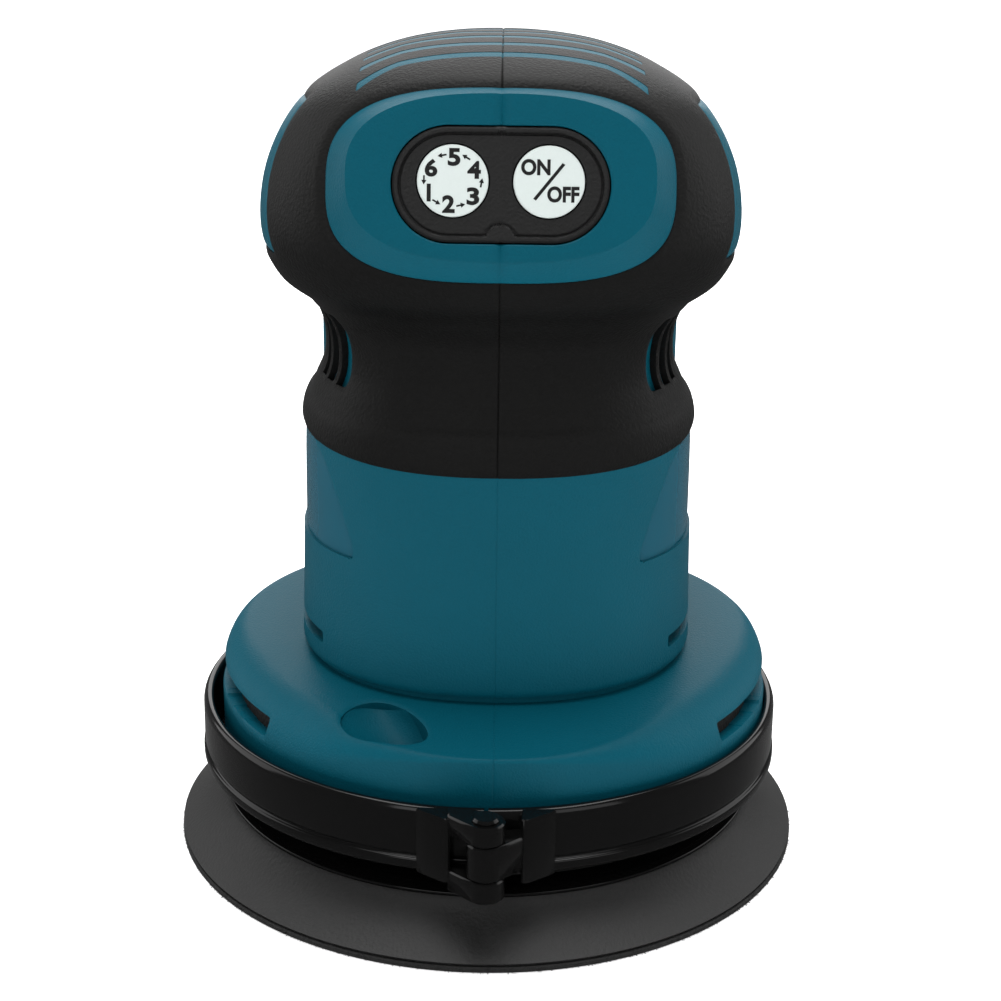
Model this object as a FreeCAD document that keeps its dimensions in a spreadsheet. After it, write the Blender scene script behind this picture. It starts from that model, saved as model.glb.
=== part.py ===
import FreeCAD, Part
import math
import os

import Sketcher
from FreeCAD import Placement, Rotation, Vector

# Cordless dual action polisher: a palm-grip tool whose brushless motor drives a 125 mm pad
# on an eccentric, so that the pad orbits with the shaft and also spins freely on its bearings.
# Frame: +Z up, -Y is the front with the control keys, +Y the rear with the battery.
# The origin is on the motor axis, in the plane that the pad's working face rests on.
# Everything is in millimetres.

doc = FreeCAD.newDocument("polisher")
sheet = doc.addObject("Spreadsheet::Sheet", "Sizes")


# ---------------------------------------------------------------- sizes and the sheet


class Size:
    """A number together with the sheet expression that gives it."""

    def __init__(self, value, text):
        self.value = float(value)
        self.text = text

    def __add__(self, other):
        other = as_size(other)
        return Size(self.value + other.value, f"({self.text} + {other.text})")

    def __radd__(self, other):
        return as_size(other) + self

    def __sub__(self, other):
        other = as_size(other)
        return Size(self.value - other.value, f"({self.text} - {other.text})")

    def __rsub__(self, other):
        return as_size(other) - self

    def __mul__(self, other):
        other = as_size(other)
        return Size(self.value * other.value, f"({self.text} * {other.text})")

    def __rmul__(self, other):
        return as_size(other) * self

    def __neg__(self):
        return Size(-self.value, f"(0 - {self.text})")

    def __float__(self):
        return self.value


def as_size(item):
    """Plain numbers become sizes with no sheet cell."""
    return item if isinstance(item, Size) else Size(item, f"({float(item):.6f})")


def cell(alias, value, meaning):
    """One row of the sheet: name, number, meaning."""
    row = cell.next_row
    cell.next_row += 1
    sheet.set(f"A{row}", alias)
    sheet.set(f"B{row}", str(value))
    sheet.set(f"C{row}", meaning)
    sheet.setAlias(f"B{row}", alias)
    return Size(value, f"Sizes.{alias}")


cell.next_row = 1

# pad and eccentric drive
pad_radius = cell("pad_radius", 62.5, "hook face, a 125 mm pad")
pad_hook = cell("pad_hook", 1.2, "thickness of the hook layer")
pad_height = cell("pad_height", 10.0, "top of the foam")
pad_top_radius = cell("pad_top_radius", 53.4, "foam and backing plate at the top")
pad_hole = cell("pad_hole", 12.0, "screw well through foam and hook layer")
orbit_offset = cell("orbit_offset", 1.4, "half of the 2.8 mm orbit")
plate_top = cell("plate_top", 12.2, "top face of the backing plate")
spindle_radius = cell("spindle_radius", 5.0, "pad spindle in its bearings")
carrier_radius = cell("carrier_radius", 16.0, "eccentric carrier")
carrier_foot = cell("carrier_foot", 14.0, "underside of the eccentric carrier")
carrier_top = cell("carrier_top", 31.0, "top of the eccentric carrier's cup")
thin_bearing_outer = cell("thin_bearing_outer", 11.0, "pad bearings 10 x 22 x 6")
thin_bearing_width = cell("thin_bearing_width", 6.0, "pad bearings")
running_gap = cell("running_gap", 0.04, "radial clearance of a shaft in its bearing")

# motor
shaft_radius = cell("shaft_radius", 5.0, "main diameter 10 mm")
lower_journal = cell("lower_journal", 6.0, "lower bearing 12 x 28 x 8")
upper_journal = cell("upper_journal", 4.0, "upper bearing 8 x 22 x 7")
lower_bearing_z = cell("lower_bearing_z", 43.0, "underside of the lower bearing")
upper_bearing_z = cell("upper_bearing_z", 101.0, "underside of the upper bearing")
stack_bottom = cell("stack_bottom", 63.0, "underside of the lamination stack")
stack_length = cell("stack_length", 26.0, "length of the lamination stack")
stator_radius = cell("stator_radius", 26.0, "outside of the stator")
stator_bore = cell("stator_bore", 15.6, "inside of the stator")
rotor_radius = cell("rotor_radius", 15.0, "over the magnets")
magnet_depth = cell("magnet_depth", 2.5, "radial thickness of a magnet")
fan_radius = cell("fan_radius", 36.5, "radial cooling fan in the skirt")
fan_foot = cell("fan_foot", 31.3, "underside of the fan disc")

# housing
wall = cell("wall", 3.2, "total wall of the clamshell")
grip_depth = cell("grip_depth", 1.6, "thickness of the soft overmould")
skirt_radius = cell("skirt_radius", 54.0, "outside of the skirt")
skirt_foot = cell("skirt_foot", 17.5, "lower edge of the skirt")
skirt_shoulder = cell("skirt_shoulder", 34.4, "where the skirt's wall starts to round over")
skirt_wall = cell("skirt_wall", 2.4, "skirt wall")
column_foot = cell("column_foot", 39.5, "where the motor column stands on the skirt")
rear_width = cell("rear_width", 36.0, "half width of the rear housing")
rear_depth = cell("rear_depth", 46.0, "rear face that carries the battery receiver")
rear_foot = cell("rear_foot", 39.5, "lower end of the rear housing")
rear_top = cell("rear_top", 134.0, "upper end of the rear housing")
bezel_width = cell("bezel_width", 57.7, "raised frame round the control panel")
bezel_length = cell("bezel_length", 31.4, "the same, up the slope")
bezel_tilt = cell("bezel_tilt", 11.0, "degrees that the bezel leans back")
bezel_y = cell("bezel_y", -45.2, "centre of the bezel's face")
bezel_z = cell("bezel_z", 135.8, "centre of the bezel's face")
panel_width = cell("panel_width", 35.2, "control panel, a rounded lozenge")
panel_length = cell("panel_length", 18.5, "control panel up the slope")
key_radius = cell("key_radius", 5.8, "round keys of 11.6 mm")
key_spacing = cell("key_spacing", 7.8, "key centre from the middle of the panel")
key_rise = cell("key_rise", 0.6, "key centre above the middle of the panel")

# shroud ring
ring_outer = cell("ring_outer", 57.5, "outside of the shroud ring")
ring_inner = cell("ring_inner", 55.5, "inside of the shroud ring")
ring_lip = cell("ring_lip", 57.8, "lower lip of the ring")
ring_foot = cell("ring_foot", 16.8, "lower edge of the ring")
ring_top = cell("ring_top", 29.3, "upper edge of the ring")
ring_shift = cell("ring_shift", -1.2, "the ring hangs this far off the skirt's centre")
hinge_y = cell("hinge_y", -61.8, "hinge pin in front of the ring")
hinge_barrel = cell("hinge_barrel", 3.4, "radius of the hinge knuckles")
pin_radius = cell("pin_radius", 1.5, "hinge pin")

# battery
pack_width = cell("pack_width", 37.5, "half width of the battery pack")
pack_front = cell("pack_front", 55.5, "face of the pack towards the tool")
pack_back = cell("pack_back", 112.5, "outer face of the pack")
pack_foot = cell("pack_foot", 33.0, "lower end of the pack")
pack_top = cell("pack_top", 141.2, "upper end of the pack")
pack_wall = cell("pack_wall", 2.2, "wall of the pack's case")
cell_radius = cell("cell_radius", 9.2, "18650 cell with its sleeve")
cell_length = cell("cell_length", 65.2, "18650 cell")
rail_gap = cell("rail_gap", 0.4, "clearance of the battery rails")

# Cross-sections of the motor column and head, from the skirt to the crest:
# height, half width, reach to the front, reach to the rear, squareness of the outline.
STATIONS = {
    "foot": (39.5, 38.5, 36.9, 37.5, 2.2),
    "barrel": (62.0, 37.8, 37.2, 37.5, 2.25),
    "collar": (86.5, 37.3, 37.2, 37.3, 2.3),
    "tuck": (92.5, 35.0, 35.4, 37.0, 2.3),
    "waist": (98.5, 32.7, 33.8, 37.0, 2.3),
    "nape": (105.5, 32.9, 34.2, 38.5, 2.35),
    "throat": (111.0, 35.6, 38.6, 41.0, 2.45),
    "jaw": (116.0, 41.0, 43.6, 43.5, 2.6),
    "temple": (124.0, 43.8, 46.2, 44.6, 2.7),
    "brow": (135.0, 42.4, 44.8, 44.8, 2.7),
    "crown": (145.0, 36.8, 42.0, 42.5, 2.7),
    "ridge": (151.0, 28.2, 37.5, 37.5, 2.6),
    "peak": (154.6, 19.0, 27.0, 28.0, 2.4),
    "crest": (156.4, 9.0, 12.0, 14.0, 2.2),
}
STATION_FIELDS = ("height", "half", "front", "rear", "square")
stations = [
    [cell(f"{name}_{field}", number, f"{field} of the {name} section")
     for field, number in zip(STATION_FIELDS, row)]
    for name, row in STATIONS.items()
]

# ---------------------------------------------------------------- building blocks

ALONG_X = Rotation(Vector(0, 1, 0), 90)
ALONG_Y = Rotation(Vector(1, 0, 0), -90)
NODES = []


def node(obj):
    """Marks an object as a finished sub-part, which is written to a file of its own."""
    NODES.append(obj)
    return obj


def place(obj, x=0, y=0, z=0, turn=None):
    """Puts an object at a point, bound to the sheet."""
    if turn is not None:
        obj.Placement = Placement(Vector(), turn)
    for axis, item in zip("xyz", (x, y, z)):
        obj.setExpression(f"Placement.Base.{axis}", as_size(item).text)
    return obj


def cylinder(label, radius, height, x=0, y=0, z=0, turn=None):
    obj = doc.addObject("Part::Cylinder", label)
    obj.setExpression("Radius", as_size(radius).text)
    obj.setExpression("Height", as_size(height).text)
    return place(obj, x, y, z, turn)


def box(label, x, y, z):
    """A box between two limits on each axis."""
    obj = doc.addObject("Part::Box", label)
    for prop, (low, high) in zip(("Length", "Width", "Height"), (x, y, z)):
        obj.setExpression(prop, (as_size(high) - low).text)
    return place(obj, x[0], y[0], z[0])


def fuse(label, *shapes):
    obj = doc.addObject("Part::MultiFuse", label)
    obj.Shapes = list(shapes)
    return obj


def cut(label, base, *tools):
    obj = doc.addObject("Part::Cut", label)
    obj.Base = base
    obj.Tool = tools[0] if len(tools) == 1 else fuse(label + "_tools", *tools)
    return obj


def group(label, *shapes):
    """Identical loose pieces that share one sub-part."""
    obj = doc.addObject("Part::Compound", label)
    obj.Links = list(shapes)
    return obj


def feature(label, shape, placement=None):
    obj = doc.addObject("Part::Feature", label)
    obj.Shape = shape
    if placement is not None:
        obj.Placement = placement
    return obj


def base_plane(body, role):
    return next(item for item in body.Origin.OriginFeatures if item.Role == role)


def outline_sketch(body, name, role, points):
    """A closed outline of straight lines, each corner dimensioned from the sketch's origin."""
    sketch = body.newObject("Sketcher::SketchObject", name)
    sketch.AttachmentSupport = [(base_plane(body, role), "")]
    sketch.MapMode = "FlatFace"
    corners = [(as_size(u), as_size(v)) for u, v in points]
    count = len(corners)
    for index, (u, v) in enumerate(corners):
        after = corners[(index + 1) % count]
        start = Vector(u.value, v.value, 0)
        end = Vector(after[0].value, after[1].value, 0)
        sketch.addGeometry(Part.LineSegment(start, end), False)
    for index in range(count):
        sketch.addConstraint(Sketcher.Constraint("Coincident", index, 2, (index + 1) % count, 1))
    for index, corner in enumerate(corners):
        for kind, axis, item in zip(("DistanceX", "DistanceY"), (-2, -1), corner):
            if abs(item.value) < 1e-9:
                sketch.addConstraint(Sketcher.Constraint("PointOnObject", index, 1, axis))
                continue
            row = sketch.addConstraint(Sketcher.Constraint(kind, -1, 1, index, 1, item.value))
            sketch.setExpression(f"Constraints[{row}]", item.text)
    return sketch


def turned(label, points, angle=360, x=0, facing=0):
    """A body turned about the vertical axis from an outline of (radius, height) corners."""
    body = doc.addObject("PartDesign::Body", label)
    sketch = outline_sketch(body, label + "_outline", "XZ_Plane", points)
    turn = body.newObject("PartDesign::Revolution", label + "_turn")
    turn.Profile = sketch
    turn.ReferenceAxis = (sketch, ["V_Axis"])
    turn.Angle = angle
    turn.Midplane = angle < 360
    sketch.Visibility = False
    return place(body, x=x, turn=Rotation(Vector(0, 0, 1), facing))


def ring_points(inner, outer, low, high):
    return [(inner, low), (outer, low), (outer, high), (inner, high)]


def around(label, count, make):
    """Copies of a piece spaced evenly about the vertical axis."""
    return [make(f"{label}_{index + 1}", 360.0 * index / count) for index in range(count)]


def polar(radius, degrees):
    angle = math.radians(degrees)
    return radius * math.cos(angle), radius * math.sin(angle)


# ---------------------------------------------------------------- pad


def make_pad():
    centre = -orbit_offset
    node(turned("hook_face", ring_points(pad_hole, pad_radius, 0, pad_hook), x=centre))
    node(turned("pad_foam", [
        (pad_hole, pad_hook),
        (pad_radius - 0.3, pad_hook),
        (pad_radius - 0.9, pad_hook + 1.0),
        (pad_radius - 3.6, pad_hook + 3.4),
        (pad_top_radius + 2.4, pad_height - 2.2),
        (pad_top_radius, pad_height),
        (pad_hole, pad_height),
    ], x=centre))
    node(turned("backing_plate", [
        (spindle_radius, pad_height),
        (pad_top_radius, pad_height),
        (pad_top_radius, plate_top - 0.6),
        (pad_top_radius - 0.6, plate_top),
        (15, plate_top),
        (12, plate_top + 1.0),
        (spindle_radius, plate_top + 1.0),
    ], x=centre))
    shoulder = plate_top + 1.0
    bearing_foot = carrier_foot + 1.0
    node(turned("pad_spindle", [
        (3.0, pad_height),
        (spindle_radius, pad_height),
        (spindle_radius, shoulder),
        (6.8, shoulder),
        (6.8, bearing_foot),
        (spindle_radius - running_gap, bearing_foot),
        (spindle_radius - running_gap, 27.6),
        (spindle_radius - 0.6, 28.1),
        (0, 28.1),
        (0, 24.0),
        (3.0, 24.0),
    ], x=centre))
    node(turned("pad_washer", ring_points(3.3, 10.0, pad_height - 1.6, pad_height), x=centre))
    head = turned("pad_screw_blank", [
        (0, 3.2), (4.6, 3.2), (5.0, 3.6), (5.0, pad_height - 1.6), (3.0, pad_height - 1.6),
        (3.0, 23.4), (0, 23.4),
    ], x=centre)
    socket = doc.addObject("Part::Prism", "pad_screw_socket")
    socket.Polygon = 6
    socket.Circumradius = 2.9
    socket.Height = 3.0
    place(socket, x=centre, z=3.2)
    node(cut("pad_screw", head, socket))


# ---------------------------------------------------------------- rotor


def make_pad_bearings():
    width = thin_bearing_width
    for name, foot in (("lower", carrier_foot + 1.0), ("upper", carrier_foot + 2.0 + width)):
        node(turned(f"pad_bearing_{name}", [
            (spindle_radius, foot), (6.6, foot), (6.6, foot + 0.5), (9.2, foot + 0.5),
            (9.2, foot), (thin_bearing_outer, foot),
            (thin_bearing_outer, foot + width), (9.2, foot + width),
            (9.2, foot + width - 0.5), (6.6, foot + width - 0.5), (6.6, foot + width),
            (spindle_radius, foot + width),
        ], x=-orbit_offset))
    node(turned("bearing_circlip", ring_points(
        9.4, thin_bearing_outer, carrier_foot + 0.1, carrier_foot + 0.95), x=-orbit_offset))


def make_carrier():
    cup = cylinder("carrier_cup", carrier_radius, carrier_top - carrier_foot, z=carrier_foot)
    boss_radius = 9.0
    boss_top = 39.0
    boss = cylinder("carrier_boss", boss_radius, boss_top - carrier_top, z=carrier_top)
    bore = cylinder("carrier_bore", thin_bearing_outer, 14.4, x=-orbit_offset, z=carrier_foot)
    socket = cylinder("carrier_socket", shaft_radius, boss_top - carrier_top + 0.5,
                      z=carrier_top - 0.5)
    seats = [cylinder(f"carrier_screw_seat_{side}", 2.0, 20.0, x=21.0, y=side * 13.0, z=15.0)
             for side in (-1, 1)]
    ear = box("carrier_ear", (4.0, 26.0), (-17.0, 17.0), (22.0, 25.0))
    node(cut("eccentric_carrier", fuse("carrier_blank", cup, boss, ear), bore, socket, *seats))
    weight_low, weight_high = 25.0, 30.6
    weight = turned("counterweight_blank",
                    ring_points(carrier_radius + 0.2, 34.0, weight_low, weight_high), angle=190)
    holes = [cylinder(f"counterweight_hole_{side}", 2.0, 8.0, x=21.0, y=side * 13.0, z=24.0)
             for side in (-1, 1)]
    node(cut("counterweight", weight, *holes))
    screws = []
    for side in (-1, 1):
        shank = cylinder(f"weight_shank_{side}", 2.0, 8.6, x=21.0, y=side * 13.0, z=22.0)
        head = cylinder(f"weight_head_{side}", 3.6, 2.4, x=21.0, y=side * 13.0, z=19.6)
        screws.append(fuse(f"weight_screw_{side}", shank, head))
    node(group("counterweight_screws", *screws))


def make_fan():
    disc = turned("fan_disc", [
        (9.0, fan_foot), (fan_radius, fan_foot), (fan_radius, fan_foot + 1.4),
        (14.0, fan_foot + 1.4), (13.0, fan_foot + 6.2), (9.0, fan_foot + 6.2),
    ])

    def blade(label, degrees):
        obj = doc.addObject("Part::Box", label)
        obj.setExpression("Length", (fan_radius - 20.5).text)
        obj.Width = 1.4
        obj.Height = 3.6
        x, y = polar(20.0, degrees)
        obj.Placement = Placement(Vector(x, y, 0), Rotation(Vector(0, 0, 1), degrees + 22.0))
        obj.setExpression("Placement.Base.z", (fan_foot + 1.4).text)
        return obj

    blades = around("fan_blade", 14, blade)
    blades = [cut_to_fan(item) for item in blades]
    node(fuse("cooling_fan", disc, *blades))


def cut_to_fan(blade):
    """A fan blade trimmed to the disc's rim."""
    rim = cylinder(blade.Label + "_rim", fan_radius, 20.0, z=fan_foot)
    obj = doc.addObject("Part::Common", blade.Label + "_trimmed")
    obj.Base = blade
    obj.Tool = rim
    return obj


def make_shaft():
    lower = lower_bearing_z
    upper = upper_bearing_z
    node(turned("motor_shaft", [
        (0, carrier_top), (shaft_radius, carrier_top), (shaft_radius, lower - 3.0),
        (lower_journal - running_gap, lower - 3.0),
        (lower_journal - running_gap, lower + 8.6),
        (7.4, lower + 8.6), (7.4, lower + 10.0),
        (shaft_radius, lower + 10.0), (shaft_radius, upper - 1.2),
        (5.6, upper - 1.2), (5.6, upper - 0.4),
        (upper_journal - running_gap, upper - 0.4),
        (upper_journal - running_gap, upper + 7.2),
        (upper_journal - 0.6, upper + 7.8), (0, upper + 7.8),
    ]))
    stack_top = stack_bottom + stack_length
    core_radius = rotor_radius - magnet_depth
    node(turned("rotor_core", ring_points(shaft_radius, core_radius, stack_bottom, stack_top)))
    magnets = []
    for index in range(4):
        magnets.append(turned(
            f"magnet_{index + 1}",
            ring_points(core_radius, rotor_radius, stack_bottom + 0.5, stack_top - 0.5),
            angle=80, facing=90 * index))
    node(group("rotor_magnets", *magnets))


# ---------------------------------------------------------------- stator and bearings


def ball_bearing(label, bore, outer, width, foot):
    """A sealed bearing: inner ring, outer ring and the recessed seals between them."""
    inner_ring = bore + (outer - bore) * 0.25
    outer_ring = outer - (outer - bore) * 0.25
    top = foot + width
    return turned(label, [
        (bore, foot), (inner_ring, foot), (inner_ring, foot + 0.6), (outer_ring, foot + 0.6),
        (outer_ring, foot), (outer, foot), (outer, top), (outer_ring, top),
        (outer_ring, top - 0.6), (inner_ring, top - 0.6), (inner_ring, top), (bore, top),
    ])


def make_stator():
    stack_top = stack_bottom + stack_length
    node(ball_bearing("lower_bearing", lower_journal, as_size(14.0), 8.0, lower_bearing_z))
    node(ball_bearing("upper_bearing", upper_journal, as_size(11.0), 7.0, upper_bearing_z))
    core = turned("stator_blank", ring_points(stator_bore, stator_radius, stack_bottom, stack_top))

    def slot(label, degrees):
        obj = doc.addObject("Part::Box", label)
        obj.Length = 6.4
        obj.Width = 4.6
        obj.setExpression("Height", (stack_length + 2.0).text)
        x, y = polar(17.2, degrees)
        shift_x, shift_y = polar(-2.3, degrees + 90.0)
        obj.Placement = Placement(Vector(x + shift_x, y + shift_y, 0),
                                  Rotation(Vector(0, 0, 1), degrees))
        obj.setExpression("Placement.Base.z", (stack_bottom - 1.0).text)
        return obj

    node(cut("stator_core", core, *around("stator_slot", 12, slot)))
    coils = []
    for name, foot in (("lower", stack_bottom - 5.0), ("upper", stack_top + 0.6)):
        coils.append(turned(f"winding_{name}", [
            (18.0, foot + 1.4), (19.4, foot), (23.0, foot), (24.4, foot + 1.4),
            (24.4, foot + 3.4), (23.6, foot + 4.4), (18.6, foot + 4.4), (18.0, foot + 3.4),
        ]))
    node(group("stator_windings", *coils))
    insulators = [
        turned("insulator_lower", ring_points(17.0, 25.6, stack_bottom - 0.6, stack_bottom)),
        turned("insulator_upper", ring_points(17.0, 25.6, stack_top, stack_top + 0.6)),
    ]
    node(group("winding_insulators", *insulators))


def make_bearing_plate():
    """The plate that carries the lower bearing and closes the skirt against the motor."""
    foot = lower_bearing_z - 2.6
    plate = turned("bearing_plate_blank", [
        (9.6, foot), (33.6, foot), (33.6, foot + 2.6), (19.0, foot + 2.6),
        (18.0, lower_bearing_z + 8.0), (14.0, lower_bearing_z + 8.0),
        (14.0, lower_bearing_z), (9.6, lower_bearing_z),
    ])

    def air_hole(label, degrees):
        x, y = polar(25.0, degrees + 30.0)
        return cylinder(label, 4.2, 8.0, x=x, y=y, z=foot - 1.0)

    def screw_hole(label, degrees):
        x, y = polar(30.0, degrees)
        return cylinder(label, 1.6, 8.0, x=x, y=y, z=foot - 1.0)

    holes = around("plate_air_hole", 6, air_hole) + around("plate_screw_hole", 3, screw_hole)
    node(cut("bearing_plate", plate, *holes))

    def screw(label, degrees):
        x, y = polar(30.0, degrees)
        head = cylinder(label + "_head", 2.8, 2.0, x=x, y=y, z=foot - 2.0)
        shank = cylinder(label + "_shank", 1.5, 7.6, x=x, y=y, z=foot)
        return fuse(label, head, shank)

    node(group("plate_screws", *around("plate_screw", 3, screw)))


# ---------------------------------------------------------------- shroud ring


def make_shroud():
    profile = [
        (ring_inner, ring_foot), (ring_lip - 0.6, ring_foot), (ring_lip, ring_foot + 0.6),
        (ring_lip, ring_foot + 2.4), (ring_outer - 0.5, ring_foot + 2.7),
        (ring_outer, ring_foot + 3.2), (ring_outer, ring_top - 0.8),
        (ring_outer - 0.8, ring_top), (ring_inner, ring_top),
    ]
    knuckle_low, knuckle_mid, knuckle_high, knuckle_top = 15.3, 19.3, 26.2, 30.0
    pitch = 0.15
    leaf_reach = 9.0
    sides = {
        "left": (-1, [(knuckle_low, knuckle_mid), (knuckle_high, knuckle_top)]),
        "right": (1, [(knuckle_mid + pitch, knuckle_high - pitch)]),
    }
    bore = {}
    for side, (sign, spans) in sides.items():
        pieces = [turned(f"shroud_band_{side}", profile, angle=179.4, x=ring_shift,
                         facing=0 if sign > 0 else 180)]
        for index, (low, high) in enumerate(spans):
            pieces.append(cylinder(f"knuckle_{side}_{index}", hinge_barrel, high - low,
                                   x=ring_shift, y=hinge_y, z=low))
            near = ring_shift + sign * 0.9
            far = ring_shift + sign * leaf_reach
            limits = (near, far) if sign > 0 else (far, near)
            pieces.append(box(f"leaf_{side}_{index}", limits,
                              (hinge_y + 0.6, -(ring_outer - 1.6)), (low, high)))
        inside = cylinder(f"shroud_inside_{side}", ring_inner, 40.0, x=ring_shift)
        bore[side] = cylinder(f"pin_bore_{side}", pin_radius + 0.05, 40.0, x=ring_shift, y=hinge_y)
        tools = [inside, bore[side]]
        if side == "left":
            tongue = box("snap_tongue", (ring_shift - 4.0, ring_shift + 5.6),
                         (ring_outer + 0.2, ring_outer + 1.8), (20.6, 25.4))
            root = box("snap_root", (ring_shift - 8.0, ring_shift - 2.0),
                       (ring_outer - 1.2, ring_outer + 1.8), (20.6, 25.4))
            pieces += [tongue, root]
        else:
            frame = box("snap_frame", (ring_shift + 1.6, ring_shift + 9.0),
                        (ring_outer - 1.2, ring_outer + 4.0), (18.0, 28.0))
            slot = box("snap_slot", (ring_shift + 0.6, ring_shift + 7.2),
                       (ring_outer - 0.6, ring_outer + 2.5), (19.9, 26.1))
            pieces.append(frame)
            tools.append(slot)
        node(cut(f"shroud_{side}", fuse(f"shroud_{side}_blank", *pieces), *tools))
    head = cylinder("pin_head", 2.4, 0.8, x=ring_shift, y=hinge_y, z=knuckle_top)
    shank = cylinder("pin_shank", pin_radius, knuckle_top - knuckle_low - 0.1,
                     x=ring_shift, y=hinge_y, z=knuckle_low + 0.1)
    node(fuse("shroud_hinge_pin", head, shank))


# ---------------------------------------------------------------- housing forms


def smooth_rows(per_span=2):
    """The stations with smooth steps between them: a cubic through each pair of neighbours."""
    rows = [[float(item) for item in row] for row in stations]
    result = []
    for index in range(len(rows) - 1):
        before, start = rows[max(index - 1, 0)], rows[index]
        end, after = rows[index + 1], rows[min(index + 2, len(rows) - 1)]
        for step in range(per_span):
            share = step / per_span
            result.append([
                p1 + 0.5 * share * (p2 - p0 + share * (2 * p0 - 5 * p1 + 4 * p2 - p3
                                                       + share * (3 * (p1 - p2) + p3 - p0)))
                for p0, p1, p2, p3 in zip(before, start, end, after)])
    return result + [rows[-1]]


def half_curve(row, inset):
    """Half of one cross-section, a superellipse with its own front and rear reach."""
    height, half, front, rear, square = row
    top = float(stations[-1][0])
    drop = inset * max(0.0, (height - 120.0) / (top - 120.0))
    half, front, rear = half - inset, front - inset, rear - inset
    steps = 12
    points = []
    for index in range(steps + 1):
        angle = math.radians(-90.0 + 180.0 * index / steps)
        x = half * abs(math.cos(angle)) ** (2.0 / square)
        reach = rear if angle > 0 else front
        y = math.copysign(reach * abs(math.sin(angle)) ** (2.0 / square), angle)
        points.append(Vector(0.0 if index in (0, steps) else x, y, height - drop))
    curve = Part.BSplineCurve()
    curve.interpolate(Points=points, Parameters=[float(index) for index in range(steps + 1)])
    return curve.toShape(), points[0], points[-1]


def half_form(inset, low=0.0):
    """The right half of the column and head as one solid, drawn inwards by the inset."""
    sections = []
    for row in smooth_rows():
        curve, front, rear = half_curve(row, inset)
        sections.append(Part.Wire([curve, Part.makeLine(rear, front)]))
    if low:
        foot = sections[0].copy()
        foot.translate(Vector(0, 0, -low))
        sections.insert(0, foot)
    return Part.makeLoft(sections, True, True)


def side_prism(outline, far=70.0):
    """A (y, z) outline carried along X from the middle plane outwards."""
    points = [Vector(-1.0, y, z) for y, z in outline]
    return Part.Face(Part.makePolygon(points + points[:1])).extrude(Vector(far, 0, 0))


def panel_frame():
    """Placement of the control panel: local Z is its outward normal, local Y runs up it."""
    tilt = Rotation(Vector(1, 0, 0), 90.0 - float(bezel_tilt))
    return Placement(Vector(0, float(bezel_y), float(bezel_z)), tilt)


def panel_prism(width, length, square, low, high):
    """A superellipse outline on the control panel, between two depths along its normal."""
    steps = 40
    points = []
    for index in range(steps):
        angle = 2.0 * math.pi * (index + 0.5) / steps
        x = math.copysign(abs(math.cos(angle)) ** (2.0 / square), math.cos(angle)) * width / 2.0
        y = math.copysign(abs(math.sin(angle)) ** (2.0 / square), math.sin(angle)) * length / 2.0
        points.append(Vector(x, y, low))
    curve = Part.BSplineCurve()
    curve.interpolate(Points=points, PeriodicFlag=True)
    prism = Part.Face(Part.Wire(curve.toShape())).extrude(Vector(0, 0, high - low))
    prism.Placement = panel_frame()
    return prism


def stadium_prism(width, length, low, high):
    """A lozenge with round ends on the control panel, between two depths."""
    radius = length / 2.0
    reach = width / 2.0 - radius
    middle = Part.makeBox(2 * reach, length, high - low, Vector(-reach, -radius, low))
    ends = [Part.makeCylinder(radius, high - low, Vector(side * reach, 0, low))
            for side in (-1, 1)]
    prism = middle.fuse(ends).removeSplitter()
    prism.Placement = panel_frame()
    return prism


def collar_height(y):
    """Lower edge of the overmould: it climbs towards the rear."""
    return 83.6 + 0.092 * (y + 37.0)


def half_turn(edges):
    """The right half of a solid turned about the motor axis."""
    solid = Part.Face(Part.Wire(edges)).revolve(Vector(), Vector(0, 0, 1), 180)
    solid.rotate(Vector(), Vector(0, 0, 1), -90)
    return solid


def skirt_half():
    """The right half of the skirt: its solid outer form, and its wall with an air slot."""
    radius, inner = float(skirt_radius), float(skirt_radius - skirt_wall)
    foot, shoulder = float(skirt_foot), float(skirt_shoulder)
    top, bore, corner = float(column_foot) + 0.9, 33.8, 4.0
    turn = [Vector(radius - corner, 0, shoulder) + Vector(x, 0, z)
            for x, z in (polar(corner, angle) for angle in (0, 38, 76))]
    crown = [turn[2], Vector(36.0, 0, top), Vector(0, 0, top)]
    hull_points = crown + [Vector(0, 0, foot), Vector(radius, 0, foot), turn[0]]
    hull = half_turn([Part.Arc(*turn).toShape()]
                     + [Part.makeLine(a, b) for a, b in zip(hull_points, hull_points[1:])])
    room_points = [Vector(0, 0, top - 2.4), Vector(36.0, 0, top - 2.4),
                   Vector(inner - 3.0, 0, shoulder + 1.6), Vector(inner, 0, shoulder - 1.4),
                   Vector(inner, 0, foot - 1.0), Vector(0, 0, foot - 1.0)]
    room = half_turn([Part.makeLine(a, b)
                      for a, b in zip(room_points, room_points[1:] + room_points[:1])])
    eye = Part.makeCylinder(bore, 10.0, Vector(0, 0, top - 5.0))
    slot = Part.makeCylinder(radius + 2, 3.6, Vector(0, 0, 30.8), Vector(0, 0, 1), 46)
    slot = slot.cut(Part.makeCylinder(radius - 9, 3.6, Vector(0, 0, 30.8)))
    slot.rotate(Vector(), Vector(0, 0, 1), -38)
    return hull, hull.cut([room, eye, slot])


def rear_half():
    """The rear housing that joins the column to the battery receiver, hollow inside."""
    width, depth = float(rear_width), float(rear_depth)
    low, high = float(rear_foot), float(rear_top)
    thick = float(wall)
    outer = Part.makeBox(width, depth - 14.0, high - low, Vector(0, 14.0, low))
    outer = outer.makeFillet(5.0, [edge for edge in outer.Edges
                                   if abs(edge.BoundBox.XMin - width) < 1e-6
                                   and edge.BoundBox.ZLength > 20.0])
    inner = Part.makeBox(width - thick, depth - 30.0 - thick, high - low - 2 * thick - 4.0,
                         Vector(0, 30.0, low + thick + 4.0))
    return outer, inner


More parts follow.
